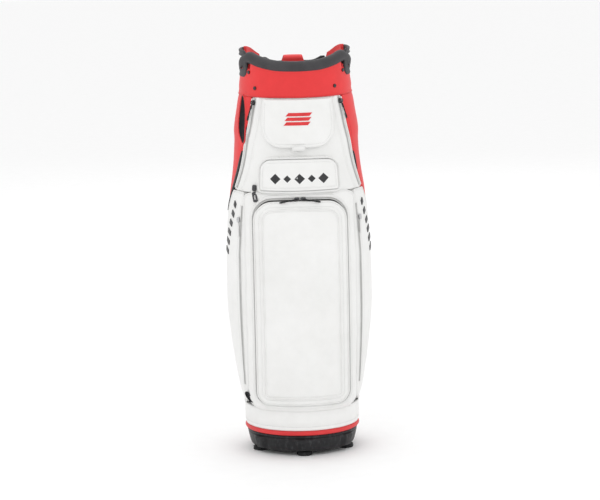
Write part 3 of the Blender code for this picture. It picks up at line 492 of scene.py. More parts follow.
def finish(name, low, high, rough=(0.45, 0.6), group="grain", scale=620.0, bump=0.25, depth=0.0004, metal=0.0,
           coat=0.0, sheen=0.0, specular=0.5, scuff=None):
    material = bpy.data.materials.new(name)
    material.use_nodes = True
    tree = material.node_tree
    shader = tree.nodes["Principled BSDF"]
    shader.inputs["Metallic"].default_value = metal
    shader.inputs["Coat Weight"].default_value = coat
    shader.inputs["Coat Roughness"].default_value = 0.35
    shader.inputs["Sheen Weight"].default_value = sheen
    shader.inputs["Specular IOR Level"].default_value = specular
    look = tree.nodes.new("ShaderNodeGroup")
    look.node_tree = groups[group]
    look.inputs[0].default_value = scale
    colour = ramp(tree, look.outputs["Tone"], low, high)
    if scuff:
        mix = tree.nodes.new("ShaderNodeMix")
        mix.data_type = "RGBA"
        tree.links.new(look.outputs["Scuff"], mix.inputs["Factor"])
        tree.links.new(colour, mix.inputs["A"])
        mix.inputs["B"].default_value = (*scuff, 1)
        colour = mix.outputs["Result"]
    tree.links.new(colour, shader.inputs["Base Color"])
    source = look.outputs["Sheen"] if group == "grain" else look.outputs["Tone"]
    spread_ = tree.nodes.new("ShaderNodeMapRange")
    spread_.inputs["From Min"].default_value, spread_.inputs["From Max"].default_value = 0.3, 0.9
    spread_.inputs["To Min"].default_value, spread_.inputs["To Max"].default_value = rough
    tree.links.new(source, spread_.inputs["Value"])
    tree.links.new(spread_.outputs["Result"], shader.inputs["Roughness"])
    relief = tree.nodes.new("ShaderNodeBump")
    relief.inputs["Strength"].default_value, relief.inputs["Distance"].default_value = bump, depth
    tree.links.new(look.outputs["Height"], relief.inputs["Height"])
    tree.links.new(relief.outputs["Normal"], shader.inputs["Normal"])
    return material


finishes = dict(
    white=finish("whiteLeather", (0.80, 0.80, 0.785), (0.87, 0.87, 0.86), bump=0.22, coat=0.08),
    whiteTrim=finish("whitePiping", (0.76, 0.76, 0.745), (0.84, 0.84, 0.83), scale=900.0, bump=0.15),
    red=finish("redLeather", (0.70, 0.016, 0.018), (0.82, 0.028, 0.030), rough=(0.40, 0.55), bump=0.25, coat=0.10),
    redTrim=finish("redPiping", (0.60, 0.018, 0.022), (0.74, 0.034, 0.036), rough=(0.35, 0.5), scale=900.0),
    whiteThread=finish("whiteThread", (0.62, 0.62, 0.61), (0.74, 0.74, 0.73), group="weave", scale=3000.0, bump=0.1),
    darkThread=finish("darkRedThread", (0.16, 0.010, 0.012), (0.26, 0.014, 0.016), group="weave", scale=3000.0,
                      bump=0.1),
    zipCloth=finish("zipTape", (0.030, 0.030, 0.032), (0.050, 0.050, 0.053), rough=(0.7, 0.85), group="weave",
                    scale=1800.0, bump=0.3, sheen=0.2, specular=0.3),
    # zip tape and coil: white, greyed as painted shade of the shadow line along each zip
    zipTapeWithPaintedShade=finish("whiteZipTapePaintedShade", (0.50, 0.50, 0.49), (0.62, 0.62, 0.61), rough=(0.65, 0.8), group="weave",
                    scale=1800.0, bump=0.3, specular=0.3),
    teeth=finish("zipCoil", (0.030, 0.030, 0.032), (0.055, 0.055, 0.058), rough=(0.3, 0.45), group="mould", bump=0.05),
    zipCoilWithPaintedShade=finish("whiteZipCoilPaintedShade", (0.42, 0.42, 0.41), (0.55, 0.55, 0.54), rough=(0.35, 0.5), group="mould",
                     bump=0.05),
    lining=finish("blackLining", (0.014, 0.014, 0.016), (0.030, 0.030, 0.033), rough=(0.75, 0.9), group="weave",
                  scale=1300.0, bump=0.4, sheen=0.3, specular=0.10),
    webbing=finish("blackWebbing", (0.018, 0.018, 0.020), (0.040, 0.040, 0.043), rough=(0.6, 0.8), group="weave",
                   scale=900.0, bump=0.5, sheen=0.2, specular=0.3),
    plastic=finish("blackPlastic", (0.009, 0.009, 0.010), (0.018, 0.018, 0.020), rough=(0.36, 0.5), group="mould",
                   bump=0.18, depth=0.0002, scuff=(0.060, 0.061, 0.064), specular=0.25),
    rubber=finish("blackRubber", (0.008, 0.008, 0.009), (0.016, 0.016, 0.018), rough=(0.5, 0.68), group="mould",
                  scale=900.0, bump=0.3, depth=0.0003, scuff=(0.055, 0.056, 0.058), specular=0.22),
    # rim grip and lift handles: black rubber lightened to dark grey as painted highlight along their rounded tops
    grip=finish("blackGripPaintedHighlight", (0.034, 0.033, 0.036), (0.056, 0.054, 0.058), rough=(0.5, 0.66), group="mould",
                scale=1000.0, bump=0.25, depth=0.0003, specular=0.35),
    gunmetal=finish("gunmetal", (0.060, 0.060, 0.064), (0.095, 0.095, 0.100), rough=(0.22, 0.36), group="mould",
                    bump=0.04, metal=1.0, specular=0.6),
    steel=finish("platedSteel", (0.50, 0.50, 0.51), (0.62, 0.62, 0.63), rough=(0.22, 0.34), group="mould", bump=0.03,
                 metal=1.0),
    emblem=finish("blackEmbroidery", (0.012, 0.012, 0.014), (0.028, 0.028, 0.030), rough=(0.5, 0.65), group="weave",
                  scale=2600.0, bump=0.35, sheen=0.2),
    redEmblem=finish("redEmblem", (0.62, 0.020, 0.024), (0.76, 0.030, 0.034), rough=(0.35, 0.5), group="weave",
                     scale=2600.0, bump=0.2),
    floor=finish("paleFloor", (0.93, 0.93, 0.93), (0.95, 0.95, 0.95), rough=(0.8, 0.9), group="mould", scale=40.0,
                 bump=0.01),
)
print("finishes made")


def flatPatch(name, corners, place, off, height, material, **facts):
    # A thin closed plate with straight edges lying on a surface.
    centre = [sum(c[k] for c in corners) / len(corners) for k in (0, 1)]
    line = []
    for (u0, v0), (u1, v1) in zip(corners, corners[1:] + corners[:1]):
        line += [(u0 + (u1 - u0) * k / 6, v0 + (v1 - v0) * k / 6) for k in range(6)]
    rings = [(s, off + height) for s in (0.05, 0.35, 0.7, 0.94)] + [(1.0, off + height * 0.5), (1.0, off)]
    verts = [place(centre[0] + (u - centre[0]) * s, centre[1] + (v - centre[1]) * s, h)
             for s, h in rings for u, v in line]
    count, faces = len(line), []
    for k in range(len(rings) - 1):
        for i in range(count):
            n = (i + 1) % count
            faces.append((k * count + i, k * count + n, (k + 1) * count + n, (k + 1) * count + i))
    faces += [tuple(range(count))[::-1], tuple(range((len(rings) - 1) * count, len(rings) * count))]
    return outwards(newPiece(name, verts, faces, material, smooth=False, **facts))


def piping(name, shape, place, off, radius, material, part=None, **facts):
    # Welting round an outline, or along part=(first, last) of its points.
    loop = loopOf(shape)
    points = laid(loop, place, off)
    outward = [outwardAt(place, u, v) for u, v in loop]
    if part:
        points, outward = points[part[0]:part[1]], outward[part[0]:part[1]]
    return sweptPiece(name, points, disc(radius, 8), material, closed=part is None, up=lambda i: outward[i], **facts)


def stitches(name, paths, material="whiteThread", pitch=0.0046, length=0.0030, width=0.0007, height=0.0006, **facts):
    return repeated(name, threadTree, paths, finishes[material], pitch, width, length, height, **facts)


def zipRun(name, pathAt, tapeWidth, tape, teeth, body="bag", toothWidth=0.0020):
    # pathAt(off) gives [(point, outward)]; a woven tape with two rows of coil.
    path = pathAt(-0.0002)
    section = [(-tapeWidth / 2, -0.0005), (tapeWidth / 2, -0.0005), (tapeWidth / 2, 0.0003), (-tapeWidth / 2, 0.0003)]
    outward = [n for _, n in path]
    sweptPiece(name + "Tape", [p for p, _ in path], section, finishes[tape], up=lambda i: outward[i], body=body,
               slotName="black_lining", smooth=False)
    repeated(name + "Coil", teethTree, [pathAt(0.0006)], finishes[teeth], 0.0019, toothWidth, 0.0011, 0.0013, body=body)


# The large front pocket.
frontPocket = dict(low=bandTop + 0.0070, high=split - 0.0070, crown=0.0050, puff=0.0042, soften=0.016,
                   channel=0.0125, channelDepth=0.0016, wrinkle=0.0005, gussetPuff=0.0055)


def seamPlace(x, z, off):
    depth = math.sqrt(max(sideRadius(z) ** 2 - x * x, 0.03 ** 2))
    return Vector((x, -depth - off, z))


def tuckPlace(x, z, off):
    return Vector((x, -math.sqrt(max((coverRadius + 0.004) ** 2 - x * x, 0.03 ** 2)) - off, z))


def makeFrontPocket():
    s = frontPocket
    lip = shapeOf(lipHalf, s["low"], s["high"], 0.034, 0.048, s["crown"])
    outer = shapeOf(seamHalf, bandTop + 0.002, split - 0.002, 0.022, 0.014)
    lipLoop, seamLoop = loopOf(lip), loopOf(outer)
    front, rear = laid(lipLoop, frontPlace, -0.0015), laid(seamLoop, seamPlace, 0)
    loops = [laid(seamLoop, tuckPlace, 0), rear]
    middle = Vector((0, -0.06, (s["low"] + s["high"]) / 2))
    for k in (0.12, 0.3, 0.5, 0.7, 0.88):
        ring = []
        for i, (a, b) in enumerate(zip(rear, front)):
            p = a.lerp(b, k)
            out = (b - middle)
            out.y *= 0.25
            lift = s["gussetPuff"] * math.sin(math.pi * k) * (1 + 0.5 * ripple(lipLoop[i][0], lipLoop[i][1], 0.05, k))
            ring.append(p + out.normalized() * lift)
        loops.append(ring)
    rolled = inset(lip, 0.0022)
    inner = inset(lip, 0.0046)
    loops += [front, laid(loopOf(inset(lip, 0.0006)), frontPlace, 0.0004), laid(loopOf(rolled), frontPlace, 0.0009),
              laid(loopOf(inner), frontPlace, 0.0002), laid(loopOf(inner), frontPlace, -0.0050),
              laid(loopOf(inset(outer, 0.006)), seamPlace, -0.0040)]
    gusset = ringLoft("frontPocketGusset", loops, finishes["white"], hides=("front_pocket",), slotName="white_leather")
    piping("frontSeamPiping", inset(outer, -0.0004), seamPlace, 0.0006, 0.0021, finishes["whiteTrim"],
           slotName="white_leather")
    piping("frontLipPiping", inset(lip, 0.0006), frontPlace, 0.0004, 0.0016, finishes["whiteTrim"],
           slotName="white_leather")

    mouth = inset(lip, 0.0058)
    run = slice(36, 194)

    def zipAt(off):
        loop = loopOf(mouth)[run]
        return pathOn(loop, frontPlace, off - 0.0012, closed=False)

    zipRun("frontZip", zipAt, 0.0068, "zipTapeWithPaintedShade", "zipCoilWithPaintedShade")
    stitches("frontLipStitches", [pathOn(loopOf(inset(lip, 0.0036)), frontPlace, 0.0011)])

    door = shapeOf(doorHalf, bandTop + 0.0130, split - 0.0200, 0.028, 0.040, s["crown"])

    def puff(u, v, d):
        rise = s["puff"] * (1 - math.exp(-d / s["soften"]))
        channel = s["channelDepth"] * math.exp(-((d - s["channel"]) / 0.0030) ** 2)
        folds = s["wrinkle"] * ripple(u, v, 0.045, 2.0) + 0.6 * s["wrinkle"] * ripple(u, v, 0.020, 5.0)
        pucker = 0.0003 * math.sin(420 * (u + v)) * math.exp(-((d - 0.006) / 0.006) ** 2)
        return rise - channel + folds * min(1, d / 0.02) + pucker - 0.0012

    panel = softPanel("frontPocketDoor", door, frontPlace, puff, finishes["white"], cols=72, rows=110, pull=0.75,
                      body="front_door", hides=("front_pocket_door",), slotName="white_leather")
    piping("doorEdgePiping", inset(door, 0.0008), frontPlace, 0.0000, 0.0017, finishes["whiteTrim"],
           body="front_door", slotName="white_leather")
    ring = inset(door, s["channel"] + 0.0045)
    piping("doorInnerPiping", ring, frontPlace, 0.0018, 0.0018, finishes["whiteTrim"], body="front_door",
           slotName="white_leather")
    lines = [pathOn(loopOf(inset(door, s["channel"] + d)), frontPlace, o)
             for d, o in ((-0.0015, 0.0006), (0.0085, 0.0022))]
    stitches("doorStitches", lines, body="front_door")


makeFrontPocket()
print("front pocket made")


# The side pockets, each with a zip near its front edge.
sidePocket = dict(bars=6, barAt=-0.12, barDrop=0.030, barStep=0.021, barHalf=0.011, barTall=0.0050, barLean=0.0035,
                  low=bandTop + 0.0030, high=split - 0.0010, reach=0.078, zipAt=-0.80, puff=0.0030, soften=0.012)


def makeSidePocket(side, word):
    s = sidePocket
    reach = s["reach"]
    seamAt = lambda z: math.degrees(math.asin((seamHalf + 0.0014) / sideRadius(z)))
    rearAt = lambda z: min(124.0, splitAngle(z) - 0.6)
    place = stripPlace(side, reach, seamAt, rearAt)
    shape = shapeOf(reach, s["low"], s["high"], 0.030, 0.010)
    zipU = s["zipAt"] * reach

    def puff(u, v, d):
        rise = s["puff"] * (1 - math.exp(-d / s["soften"]))
        groove = 0.0030 * math.exp(-((u - zipU) / 0.0042) ** 2) * min(1, d / 0.02)
        return rise - groove + 0.0007 * ripple(u, v, 0.05, side * 3.0) * min(1, d / 0.03) - 0.0012

    panel = softPanel(f"sidePocket{word}", shape, place, puff, finishes["white"], cols=56, rows=90,
                      hides=(f"side_pocket_{word.lower()}",), slotName="white_leather")
    piping(f"sidePiping{word}", inset(shape, 0.0006), place, 0.0001, 0.0017, finishes["whiteTrim"],
           slotName="white_leather")
    zipPath = [(zipU, s["high"] - 0.030 - 0.005 * k) for k in range(81)]
    zipRun(f"sideZip{word}", lambda off: pathOn(zipPath, place, off + 0.0002, closed=False), 0.0085, "zipTapeWithPaintedShade",
           "zipCoilWithPaintedShade")
    sides = [[(zipU + d, v) for _, v in zipPath] for d in (-0.0078, 0.0078)]
    stitches(f"sideStitches{word}", [pathOn(line, place, 0.0014, closed=False) for line in sides])
    # A generic column of slanted bars.
    for k in range(s["bars"]):
        u0, v0 = s["barAt"] * reach, split - s["barDrop"] - s["barStep"] * k
        half, tall, lean = s["barHalf"], s["barTall"], s["barLean"]
        corners = [(u0 - half, v0 - tall - lean), (u0 + half, v0 - tall + lean), (u0 + half, v0 + tall + lean),
                   (u0 - half, v0 + tall - lean)]
        flatPatch(f"sideBar{word}{k + 1}", corners, place, s["puff"] - 0.0016, 0.0020, finishes["emblem"])


for side, word in ((-1, "Left"), (1, "Right")):
    makeSidePocket(side, word)
print("side pockets made")


# The white panel behind the two small pockets, with a long zip down each edge.
upperFront = dict(half=0.125, low=split + 0.0004, high=seam - 0.0004, zipInset=0.0085, innerSeams=(0.026, 0.0335))


def edgeU(z):
    return math.radians(splitAngle(z) - 0.5) * reference


def makeUpperFront():
    s = upperFront
    place = lambda u, z, off: upperPlace(edgeU(z) * u / s["half"], z, off)
    shape = shapeOf(s["half"], s["low"], s["high"], 0.004, 0.004)

    def puff(u, v, d):
        across = edgeU(v) * (1 - abs(u) / s["half"])
        groove = 0.0022 * math.exp(-((across - s["zipInset"]) / 0.0040) ** 2)
        lines = sum(0.0009 * math.exp(-((across - k) / 0.0016) ** 2) for k in s["innerSeams"])
        swell = 0.0018 * math.exp(-((across - 0.0175) / 0.006) ** 2)
        return -0.0002 - groove - lines + swell

    panel = softPanel("upperFrontPanel", shape, place, puff, finishes["white"], cols=110, rows=50,
                      pull=0.3, hides=("upper_front",), slotName="white_leather")
    for side, word in ((-1, "Left"), (1, "Right")):
        levels = [seam - 0.004 - 0.004 * k for k in range(50)]
        edge = lambda z, gap: (side * (edgeU(z) - gap), z)
        zipRun(f"upperZip{word}", lambda off: pathOn([edge(z, s["zipInset"]) for z in levels], upperPlace, off - 0.0006,
                                                     closed=False), 0.0066, "zipTapeWithPaintedShade", "zipCoilWithPaintedShade", toothWidth=0.0015)
        points = [upperPlace(*edge(z, 0.0010), 0.0004) for z in levels]
        sweptPiece(f"upperEdgePiping{word}", points, disc(0.0019, 8), finishes["whiteTrim"], slotName="white_leather")
        lines = [[edge(z, gap) for z in levels] for gap in (0.0138, 0.0298)]
        stitches(f"upperStitches{word}", [pathOn(line, upperPlace, 0.0010, closed=False) for line in lines])


makeUpperFront()
print("upper front made")


# The valuables pocket.
valuables = dict(half=0.083, low=split + 0.0030, height=0.074, rLow=0.010, rHigh=0.026, crown=0.003,
                 puff=0.0028, motifWide=0.0210, motifHigh=0.023)


def makeValuables():
    s = valuables
    high = s["low"] + s["height"]
    rim = shapeOf(s["half"], s["low"], high, s["rLow"], s["rHigh"], s["crown"])
    place = upperPlace
    ring = [laid(loopOf(inset(rim, 0.0002)), place, 0.0002), laid(loopOf(inset(rim, -0.0006)), place, 0.0035),
            laid(loopOf(rim), place, 0.0078), laid(loopOf(inset(rim, 0.0012)), place, 0.0094),
            laid(loopOf(inset(rim, 0.0030)), place, 0.0096), laid(loopOf(inset(rim, 0.0040)), place, 0.0085),
            laid(loopOf(inset(rim, 0.0040)), place, 0.0006)]
    gusset = ringLoft("valuablesGusset", ring, finishes["white"], hides=("valuables_pocket",), slotName="white_leather")
    piping("valuablesPiping", inset(rim, 0.0012), place, 0.0094, 0.0015, finishes["whiteTrim"],
           slotName="white_leather")
    door = shapeOf(s["half"] - 0.005, s["low"] + 0.005, high - 0.005, 0.005, 0.021, s["crown"])

    def puff(u, v, d):
        rise = s["puff"] * (1 - math.exp(-d / 0.007))
        channel = 0.0010 * math.exp(-((d - 0.0055) / 0.0018) ** 2)
        return 0.0092 + rise - channel + 0.0003 * ripple(u, v, 0.03, 7.0)

    panel = softPanel("valuablesDoor", door, place, puff, finishes["white"], cols=56, rows=36, back=0.0072,
                      body="valuables_door", hides=("valuables_door",), slotName="white_leather")
    stitches("valuablesStitches", [pathOn(loopOf(inset(door, 0.0058)), place, 0.0106)], body="valuables_door")
    stitches("valuablesRimStitches", [pathOn(loopOf(inset(rim, 0.0030)), place, 0.0100)])
    v0, wide, tall = s["low"] + 0.031, s["motifWide"] / 2, s["motifHigh"] / 2
    for k in range(-2, 3):
        u0 = k * (s["motifWide"] + 0.0018)
        size = 1.0 if k % 2 == 0 else 0.72
        corners = [(u0 - wide * size, v0), (u0, v0 - tall * size), (u0 + wide * size, v0), (u0, v0 + tall * size)]
        flatPatch(f"lozenge{k + 3}", corners, place, 0.0114, 0.0007, finishes["emblem"], body="valuables_door")
    # Piping along the ledge under the pocket.
    ledge = [(-0.104 + 0.0026 * k, split + 0.0012) for k in range(81)]
    points = [upperPlace(u, v, 0.0012) for u, v in ledge]
    sweptPiece("ledgePiping", points, disc(0.0019, 8), finishes["whiteTrim"], slotName="white_leather")


makeValuables()

# The flap pocket.
flapPocket = dict(half=0.0785, top=seam - 0.004, height=0.101, radius=0.046, puff=0.0022)


def makeFlap():
    s = flapPocket
    top, low = s["top"], s["top"] - s["height"]
    under = shapeOf(s["half"] - 0.002, low + 0.004, top - 0.001, s["radius"], 0.003)
    place = upperPlace
    ring = [laid(loopOf(under), place, 0.0002), laid(loopOf(inset(under, -0.0005)), place, 0.0030),
            laid(loopOf(under), place, 0.0056), laid(loopOf(inset(under, 0.004)), place, 0.0056),
            laid(loopOf(inset(under, 0.004)), place, 0.0002)]
    gusset = ringLoft("flapPocketGusset", ring, finishes["white"], hides=("flap_pocket",), slotName="white_leather")
    shape = shapeOf(s["half"], low, top, s["radius"], 0.003)

    def puff(u, v, d):
        rise = s["puff"] * (1 - math.exp(-d / 0.008))
        channel = 0.0009 * math.exp(-((d - 0.0060) / 0.0018) ** 2) * (v < top - 0.008)
        return 0.0086 + rise - channel + 0.0004 * ripple(u, v, 0.035, 9.0)

    flap = softPanel("flapPanel", shape, place, puff, finishes["white"], cols=60, rows=50, back=0.0066, body="flap",
                     hides=("flap",), slotName="white_leather")
    loop = loopOf(inset(shape, 0.0008))
    open_ = loop[135:] + loop[:95]
    outward = [outwardAt(place, u, v) for u, v in open_]
    sweptPiece("flapPiping", laid(open_, place, 0.0088), disc(0.0014, 8), finishes["whiteTrim"],
               up=lambda i: outward[i], body="flap", slotName="white_leather")
    stitched = loopOf(inset(shape, 0.0062))
    stitches("flapStitches", [pathOn(stitched[135:] + stitched[:95], place, 0.0098, closed=False)], body="flap")
    tab = shapeOf(0.0125, low - 0.0070, low + 0.0050, 0.003, 0.003)
    softPanel("flapTab", tab, place, lambda u, v, d: 0.0116 + 0.0012 * (1 - math.exp(-d / 0.0012)),
              finishes["whiteTrim"], cols=24, rows=14, back=0.0100, body="flap", hides=("flap_tab",),
              slotName="white_leather")
    stitches("tabStitches", [pathOn(loopOf(inset(tab, 0.0022)), place, 0.0130)], body="flap", pitch=0.0030,
             length=0.0020)
    # A generic mark: three slanted red bars.
    v0 = top - 0.0405
    lean = 0.006
    for k, (u0, v1, half, tall) in enumerate(((0.002, v0 + 0.0098, 0.0245, 0.0036), (0.0, v0, 0.0245, 0.0036),
                                              (-0.002, v0 - 0.0098, 0.0245, 0.0036))):
        corners = [(u0 - half - lean / 2, v1 - tall), (u0 + half - lean / 2, v1 - tall),
                   (u0 + half + lean / 2, v1 + tall), (u0 - half + lean / 2, v1 + tall)]
        flatPatch(f"flapBar{k + 1}", corners, place, 0.0107, 0.0008, finishes["redEmblem"], body="flap")


makeFlap()
print("small pockets made")


# The red upper sides; the left one has a slanted mouth.
redSide = dict(bowl=((1.04, -0.0006), (0.98, 0.0002), (0.90, 0.0035), (0.70, 0.0080), (0.35, 0.0105), (0.02, 0.0110)),
               low=bandTop + bodyLength * 0.505, high=seam - 0.0004, reach=0.070, puff=0.0022, mouthAngle=64,
               mouthLean=-10, mouthWide=0.030, mouthTall=0.104, mouthDrop=0.050, mouthDepth=0.014,
               gussets={-1: (seam - 0.118, seam - 0.258, 0.0075), 1: (seam - 0.124, seam - 0.166, 0.0040)})


def makeRedSide(side, word, node):
    s = redSide
    frontAt = lambda z: splitAngle(z) + 0.5
    rearAt = lambda z: 124.5
    place = stripPlace(side, s["reach"], frontAt, rearAt)
    shape = shapeOf(s["reach"], s["low"], s["high"], 0.004, 0.004)
    centreZ = s["high"] - s["mouthDrop"]
    lean = math.radians(s["mouthLean"])

    def inMouth(u, v):
        if side > 0:
            return 9.0
        angle = frontAt(v) + (rearAt(v) - frontAt(v)) * (u / s["reach"] + 1) / 2
        a, b = math.radians(angle - s["mouthAngle"]) * reference, v - centreZ
        along, across = b * math.cos(lean) - a * math.sin(lean), a * math.cos(lean) + b * math.sin(lean)
        return math.hypot(across / (s["mouthWide"] / 2), along / (s["mouthTall"] / 2))

    def puff(u, v, d):
        rise = s["puff"] * (1 - math.exp(-d / 0.009)) + 0.0006 * ripple(u, v, 0.04, side * 4.0) - 0.0010
        hole = inMouth(u, v)
        if hole < 1.25:
            rise -= s["mouthDepth"] * min(1, max(0, (1.03 - hole) / 0.10)) ** 0.7
            rise += 0.0016 * math.exp(-((hole - 1.10) / 0.10) ** 2)
        return rise

    panel = softPanel(f"redSide{word}", shape, place, puff, finishes["red"], cols=110, rows=170, pull=0.2,
                      hides=(node,), slotName="red_leather")
    if side < 0:
        panel.data.materials.append(finishes["lining"])
        for face in panel.data.polygons:
            c = face.center
            angle = math.degrees(math.atan2(-c.x, -c.y))
            u = ((angle - frontAt(c.z)) / (rearAt(c.z) - frontAt(c.z)) * 2 - 1) * s["reach"]
            if math.hypot(c.x, c.y) > coverRadius + 0.001 and abs(u) <= s["reach"] and inMouth(u, c.z) < 1.03:
                face.material_index = 1
        points = []
        for k in range(60):
            t = 2 * math.pi * k / 60
            across, along = 0.52 * s["mouthWide"] * math.cos(t), 0.51 * s["mouthTall"] * math.sin(t)
            a = across * math.cos(lean) - along * math.sin(lean)
            b = along * math.cos(lean) + across * math.sin(lean)
            z = centreZ + b
            points.append(polar(-(s["mouthAngle"] + math.degrees(a / reference)), sideRadius(z) + 0.0012, z))
        sweptPiece("mouthBinding", points, disc(0.0016, 8), finishes["redTrim"], closed=True, slotName="red_leather")
        bowl = []
        for size, drop in s["bowl"]:
            loop = []
            for k in range(60):
                t = 2 * math.pi * k / 60
                across = 0.5 * s["mouthWide"] * size * math.cos(t)
                along = 0.5 * s["mouthTall"] * size * math.sin(t)
                z = centreZ + along * math.cos(lean) + across * math.sin(lean)
                turn = s["mouthAngle"] + math.degrees((across * math.cos(lean) - along * math.sin(lean)) / reference)
                loop.append(polar(-turn, sideRadius(z) + s["puff"] - 0.0006 - drop, z))
            bowl.append(loop)
        bowl += [[p - Vector((p.x, p.y, 0)).normalized() * 0.0010 for p in loop] for loop in reversed(bowl)]
        ringLoft("mouthBowl", bowl, finishes["lining"], slotName="black_lining")
    seamLine = [(-s["reach"] + 0.0060, s["low"] + 0.004 * k) for k in range(2, 74)]
    stitches(f"redStitches{word}", [pathOn(seamLine, place, 0.0006, closed=False)], material="darkThread")
    # Black stretch gusset between the white front and the red side, widest half way down.
    top, bottom, wide = s["gussets"][side]
    levels = [top + (bottom - top) * k / 36 for k in range(37)]
    loops = []
    for z in levels:
        t = (top - z) / (top - bottom)
        half = math.degrees((0.0006 + wide * math.sin(math.pi * t ** 0.7) ** 0.8) / reference)
        base = splitAngle(z) + half * 0.9
        section = [(-half, 0.0004), (-half * 0.5, 0.0026), (0, 0.0032), (half * 0.5, 0.0026), (half, 0.0004),
                   (half, -0.004), (-half, -0.004)]
        loops.append([polar(side * (base + a), sideRadius(z) + off, z) for a, off in section])
    wedge = ringLoft(f"stretchGusset{word}", loops, finishes["lining"], wrap=False, slotName="black_lining")


makeRedSide(-1, "Left", "bottle_sleeve")
makeRedSide(1, "Right", "red_pocket")
print("red sides made")


# The collar and the mouth of the bag.
collar = dict(swell=0.0016, wall=0.0048, flare=0.0052, rimFront=0.069, rimRear=0.0505, peak=0.099, handleHeight=0.060,
              handleFrom=62, handleTo=118, rearFrom=144, rimRadius=0.0110)


def rimHeight(angle):
    s = collar
    turn = abs((angle + 180) % 360 - 180)
    peak = s["peak"] - s["rimRadius"]
    stations = [(0, s["rimFront"]), (25, s["rimFront"] + 0.001), (45, s["rimFront"] + 0.007),
                (s["handleFrom"], peak - 0.004), (90, peak), (s["handleTo"], peak),
                (134, (peak + s["rimRear"]) / 2 + 0.004), (156, s["rimRear"]), (180, s["rimRear"])]
    return seam + curveThrough(stations, turn)


def collarTop(angle):
    s = collar
    turn = abs((angle + 180) % 360 - 180)
    if turn <= s["handleFrom"] - 6:
        return rimHeight(angle) - s["rimRadius"] * 0.3
    if turn < s["handleTo"] - 9:
        return seam + s["peak"] - s["handleHeight"] + 0.020
    if turn < s["rearFrom"] - 4.7:
        return rimHeight(angle) + s["rimRadius"] * 0.9
    return rimHeight(angle) - s["rimRadius"] * 0.4


def makeCollar():
    s = collar
    count = 144
    angles = [360 * k / count for k in range(count)]
    base = coverRadius + 0.0004
    outer = base + s["wall"]

    def ring(radiusAt, heightAt):
        return [polar(a, radiusAt(a), heightAt(a)) for a in angles]

    low = seam + 0.0004
    loops = []
    for t in (0.0, 0.03, 0.08, 0.16, 0.28, 0.42, 0.60, 0.80, 0.95, 1.0):
        def radius(a, t=t):
            z = low + (collarTop(a) - low) * t
            flare = s["flare"] * max(0.0, 1 - (z - low) / 0.040)
            crease = 0.0012 * math.exp(-((z - low - 0.008) / 0.0022) ** 2)
            wave = 0.0005 * noise.noise(Vector((a / 14, t * 3, 1.5)))
            hem = 0.0012 if t in (0, 1) else 0
            return outer + s["swell"] * math.sin(math.pi * t) + flare - crease + wave - hem
        loops.append(ring(radius, lambda a, t=t: low + (collarTop(a) - low) * t))
    loops.append(ring(lambda a: outer - 0.003, lambda a: collarTop(a) + 0.0006))
    loops.append(ring(lambda a: base, lambda a: collarTop(a)))
    loops.append(ring(lambda a: base, lambda a: low))
    wall = ringLoft("collarBand", loops, finishes["red"], hides=("collar",), slotName="red_leather")
    flareAt = lambda z: s["flare"] * max(0.0, 1 - (z - low) / 0.040)
    roundPath = lambda z, off: [(polar(a, outer + flareAt(z) + off, z), polar(a, 1, 0)) for a in angles + [360]]
    stitches("collarStitches", [roundPath(low + 0.0080, -0.0004)], material="darkThread", pitch=0.0050, length=0.0036,
             width=0.0010, height=0.0009)
    seamRing = [polar(a, outer + s["flare"] - 0.0006, low + 0.0008) for a in angles]
    sweptPiece("collarSeamPiping", seamRing, disc(0.0017, 8), finishes["redTrim"], closed=True, slotName="red_leather")
    # Red lining inside the mouth, behind the dividers.
    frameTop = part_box("top_frame")[1].z
    inside = [ring(lambda a: base - 0.0008, lambda a: frameTop + 0.001),
              ring(lambda a: base - 0.0008, lambda a: collarTop(a) - 0.001),
              ring(lambda a: base - 0.0030, lambda a: collarTop(a) - 0.001),
              ring(lambda a: base - 0.0030, lambda a: frameTop + 0.001)]
    ringLoft("mouthLining", inside, finishes["red"], slotName="red_leather")


rimRoll = dict(reach=86, dipFrom=58, dip=0.027, sag=0.0042, outward=0.0045, thick=1.10)


def makeRims():
    roll = rimRoll
    circle = coverRadius - 0.0030
    section = [(0.0112 * math.cos(t), 0.0118 * math.sin(t)) for t in [2 * math.pi * k / 20 for k in range(20)]]
    for name, first, last, finishName, node in (("rimGrip", -roll["reach"], roll["reach"], "grip", "rim_grip"),
                                                ("rearRim", 142, 218, "rubber", "rear_rim")):
        steps = 96
        loops = []
        for i in range(steps + 1):
            a = first + (last - first) * i / steps
            t = i / steps
            front = name == "rimGrip"
            dip = roll["dip"] * max(0, (abs(a) - roll["dipFrom"]) / (roll["reach"] - roll["dipFrom"])) ** 1.5
            sag = roll["sag"] * math.cos(math.radians(a)) ** 4 + dip if front else 0
            ends = min(1.0, 0.60 + 7 * min(t, 1 - t)) * (roll["thick"] if front else 1)
            ribs = 1 + 0.008 * noise.noise(Vector((a / 6, 0.4, 2.0)))
            centre = polar(a, circle + (roll["outward"] * (abs(a) / roll["reach"]) ** 3 if front else 0), rimHeight(a) - sag)
            out = polar(a, 1, 0)
            loops.append([centre + out * x * ends * ribs + Vector((0, 0, y * ends * ribs)) for x, y in section])
        ringLoft(name, loops, finishes[finishName], wrap=False, hides=(node,), slotName="black_rubber")


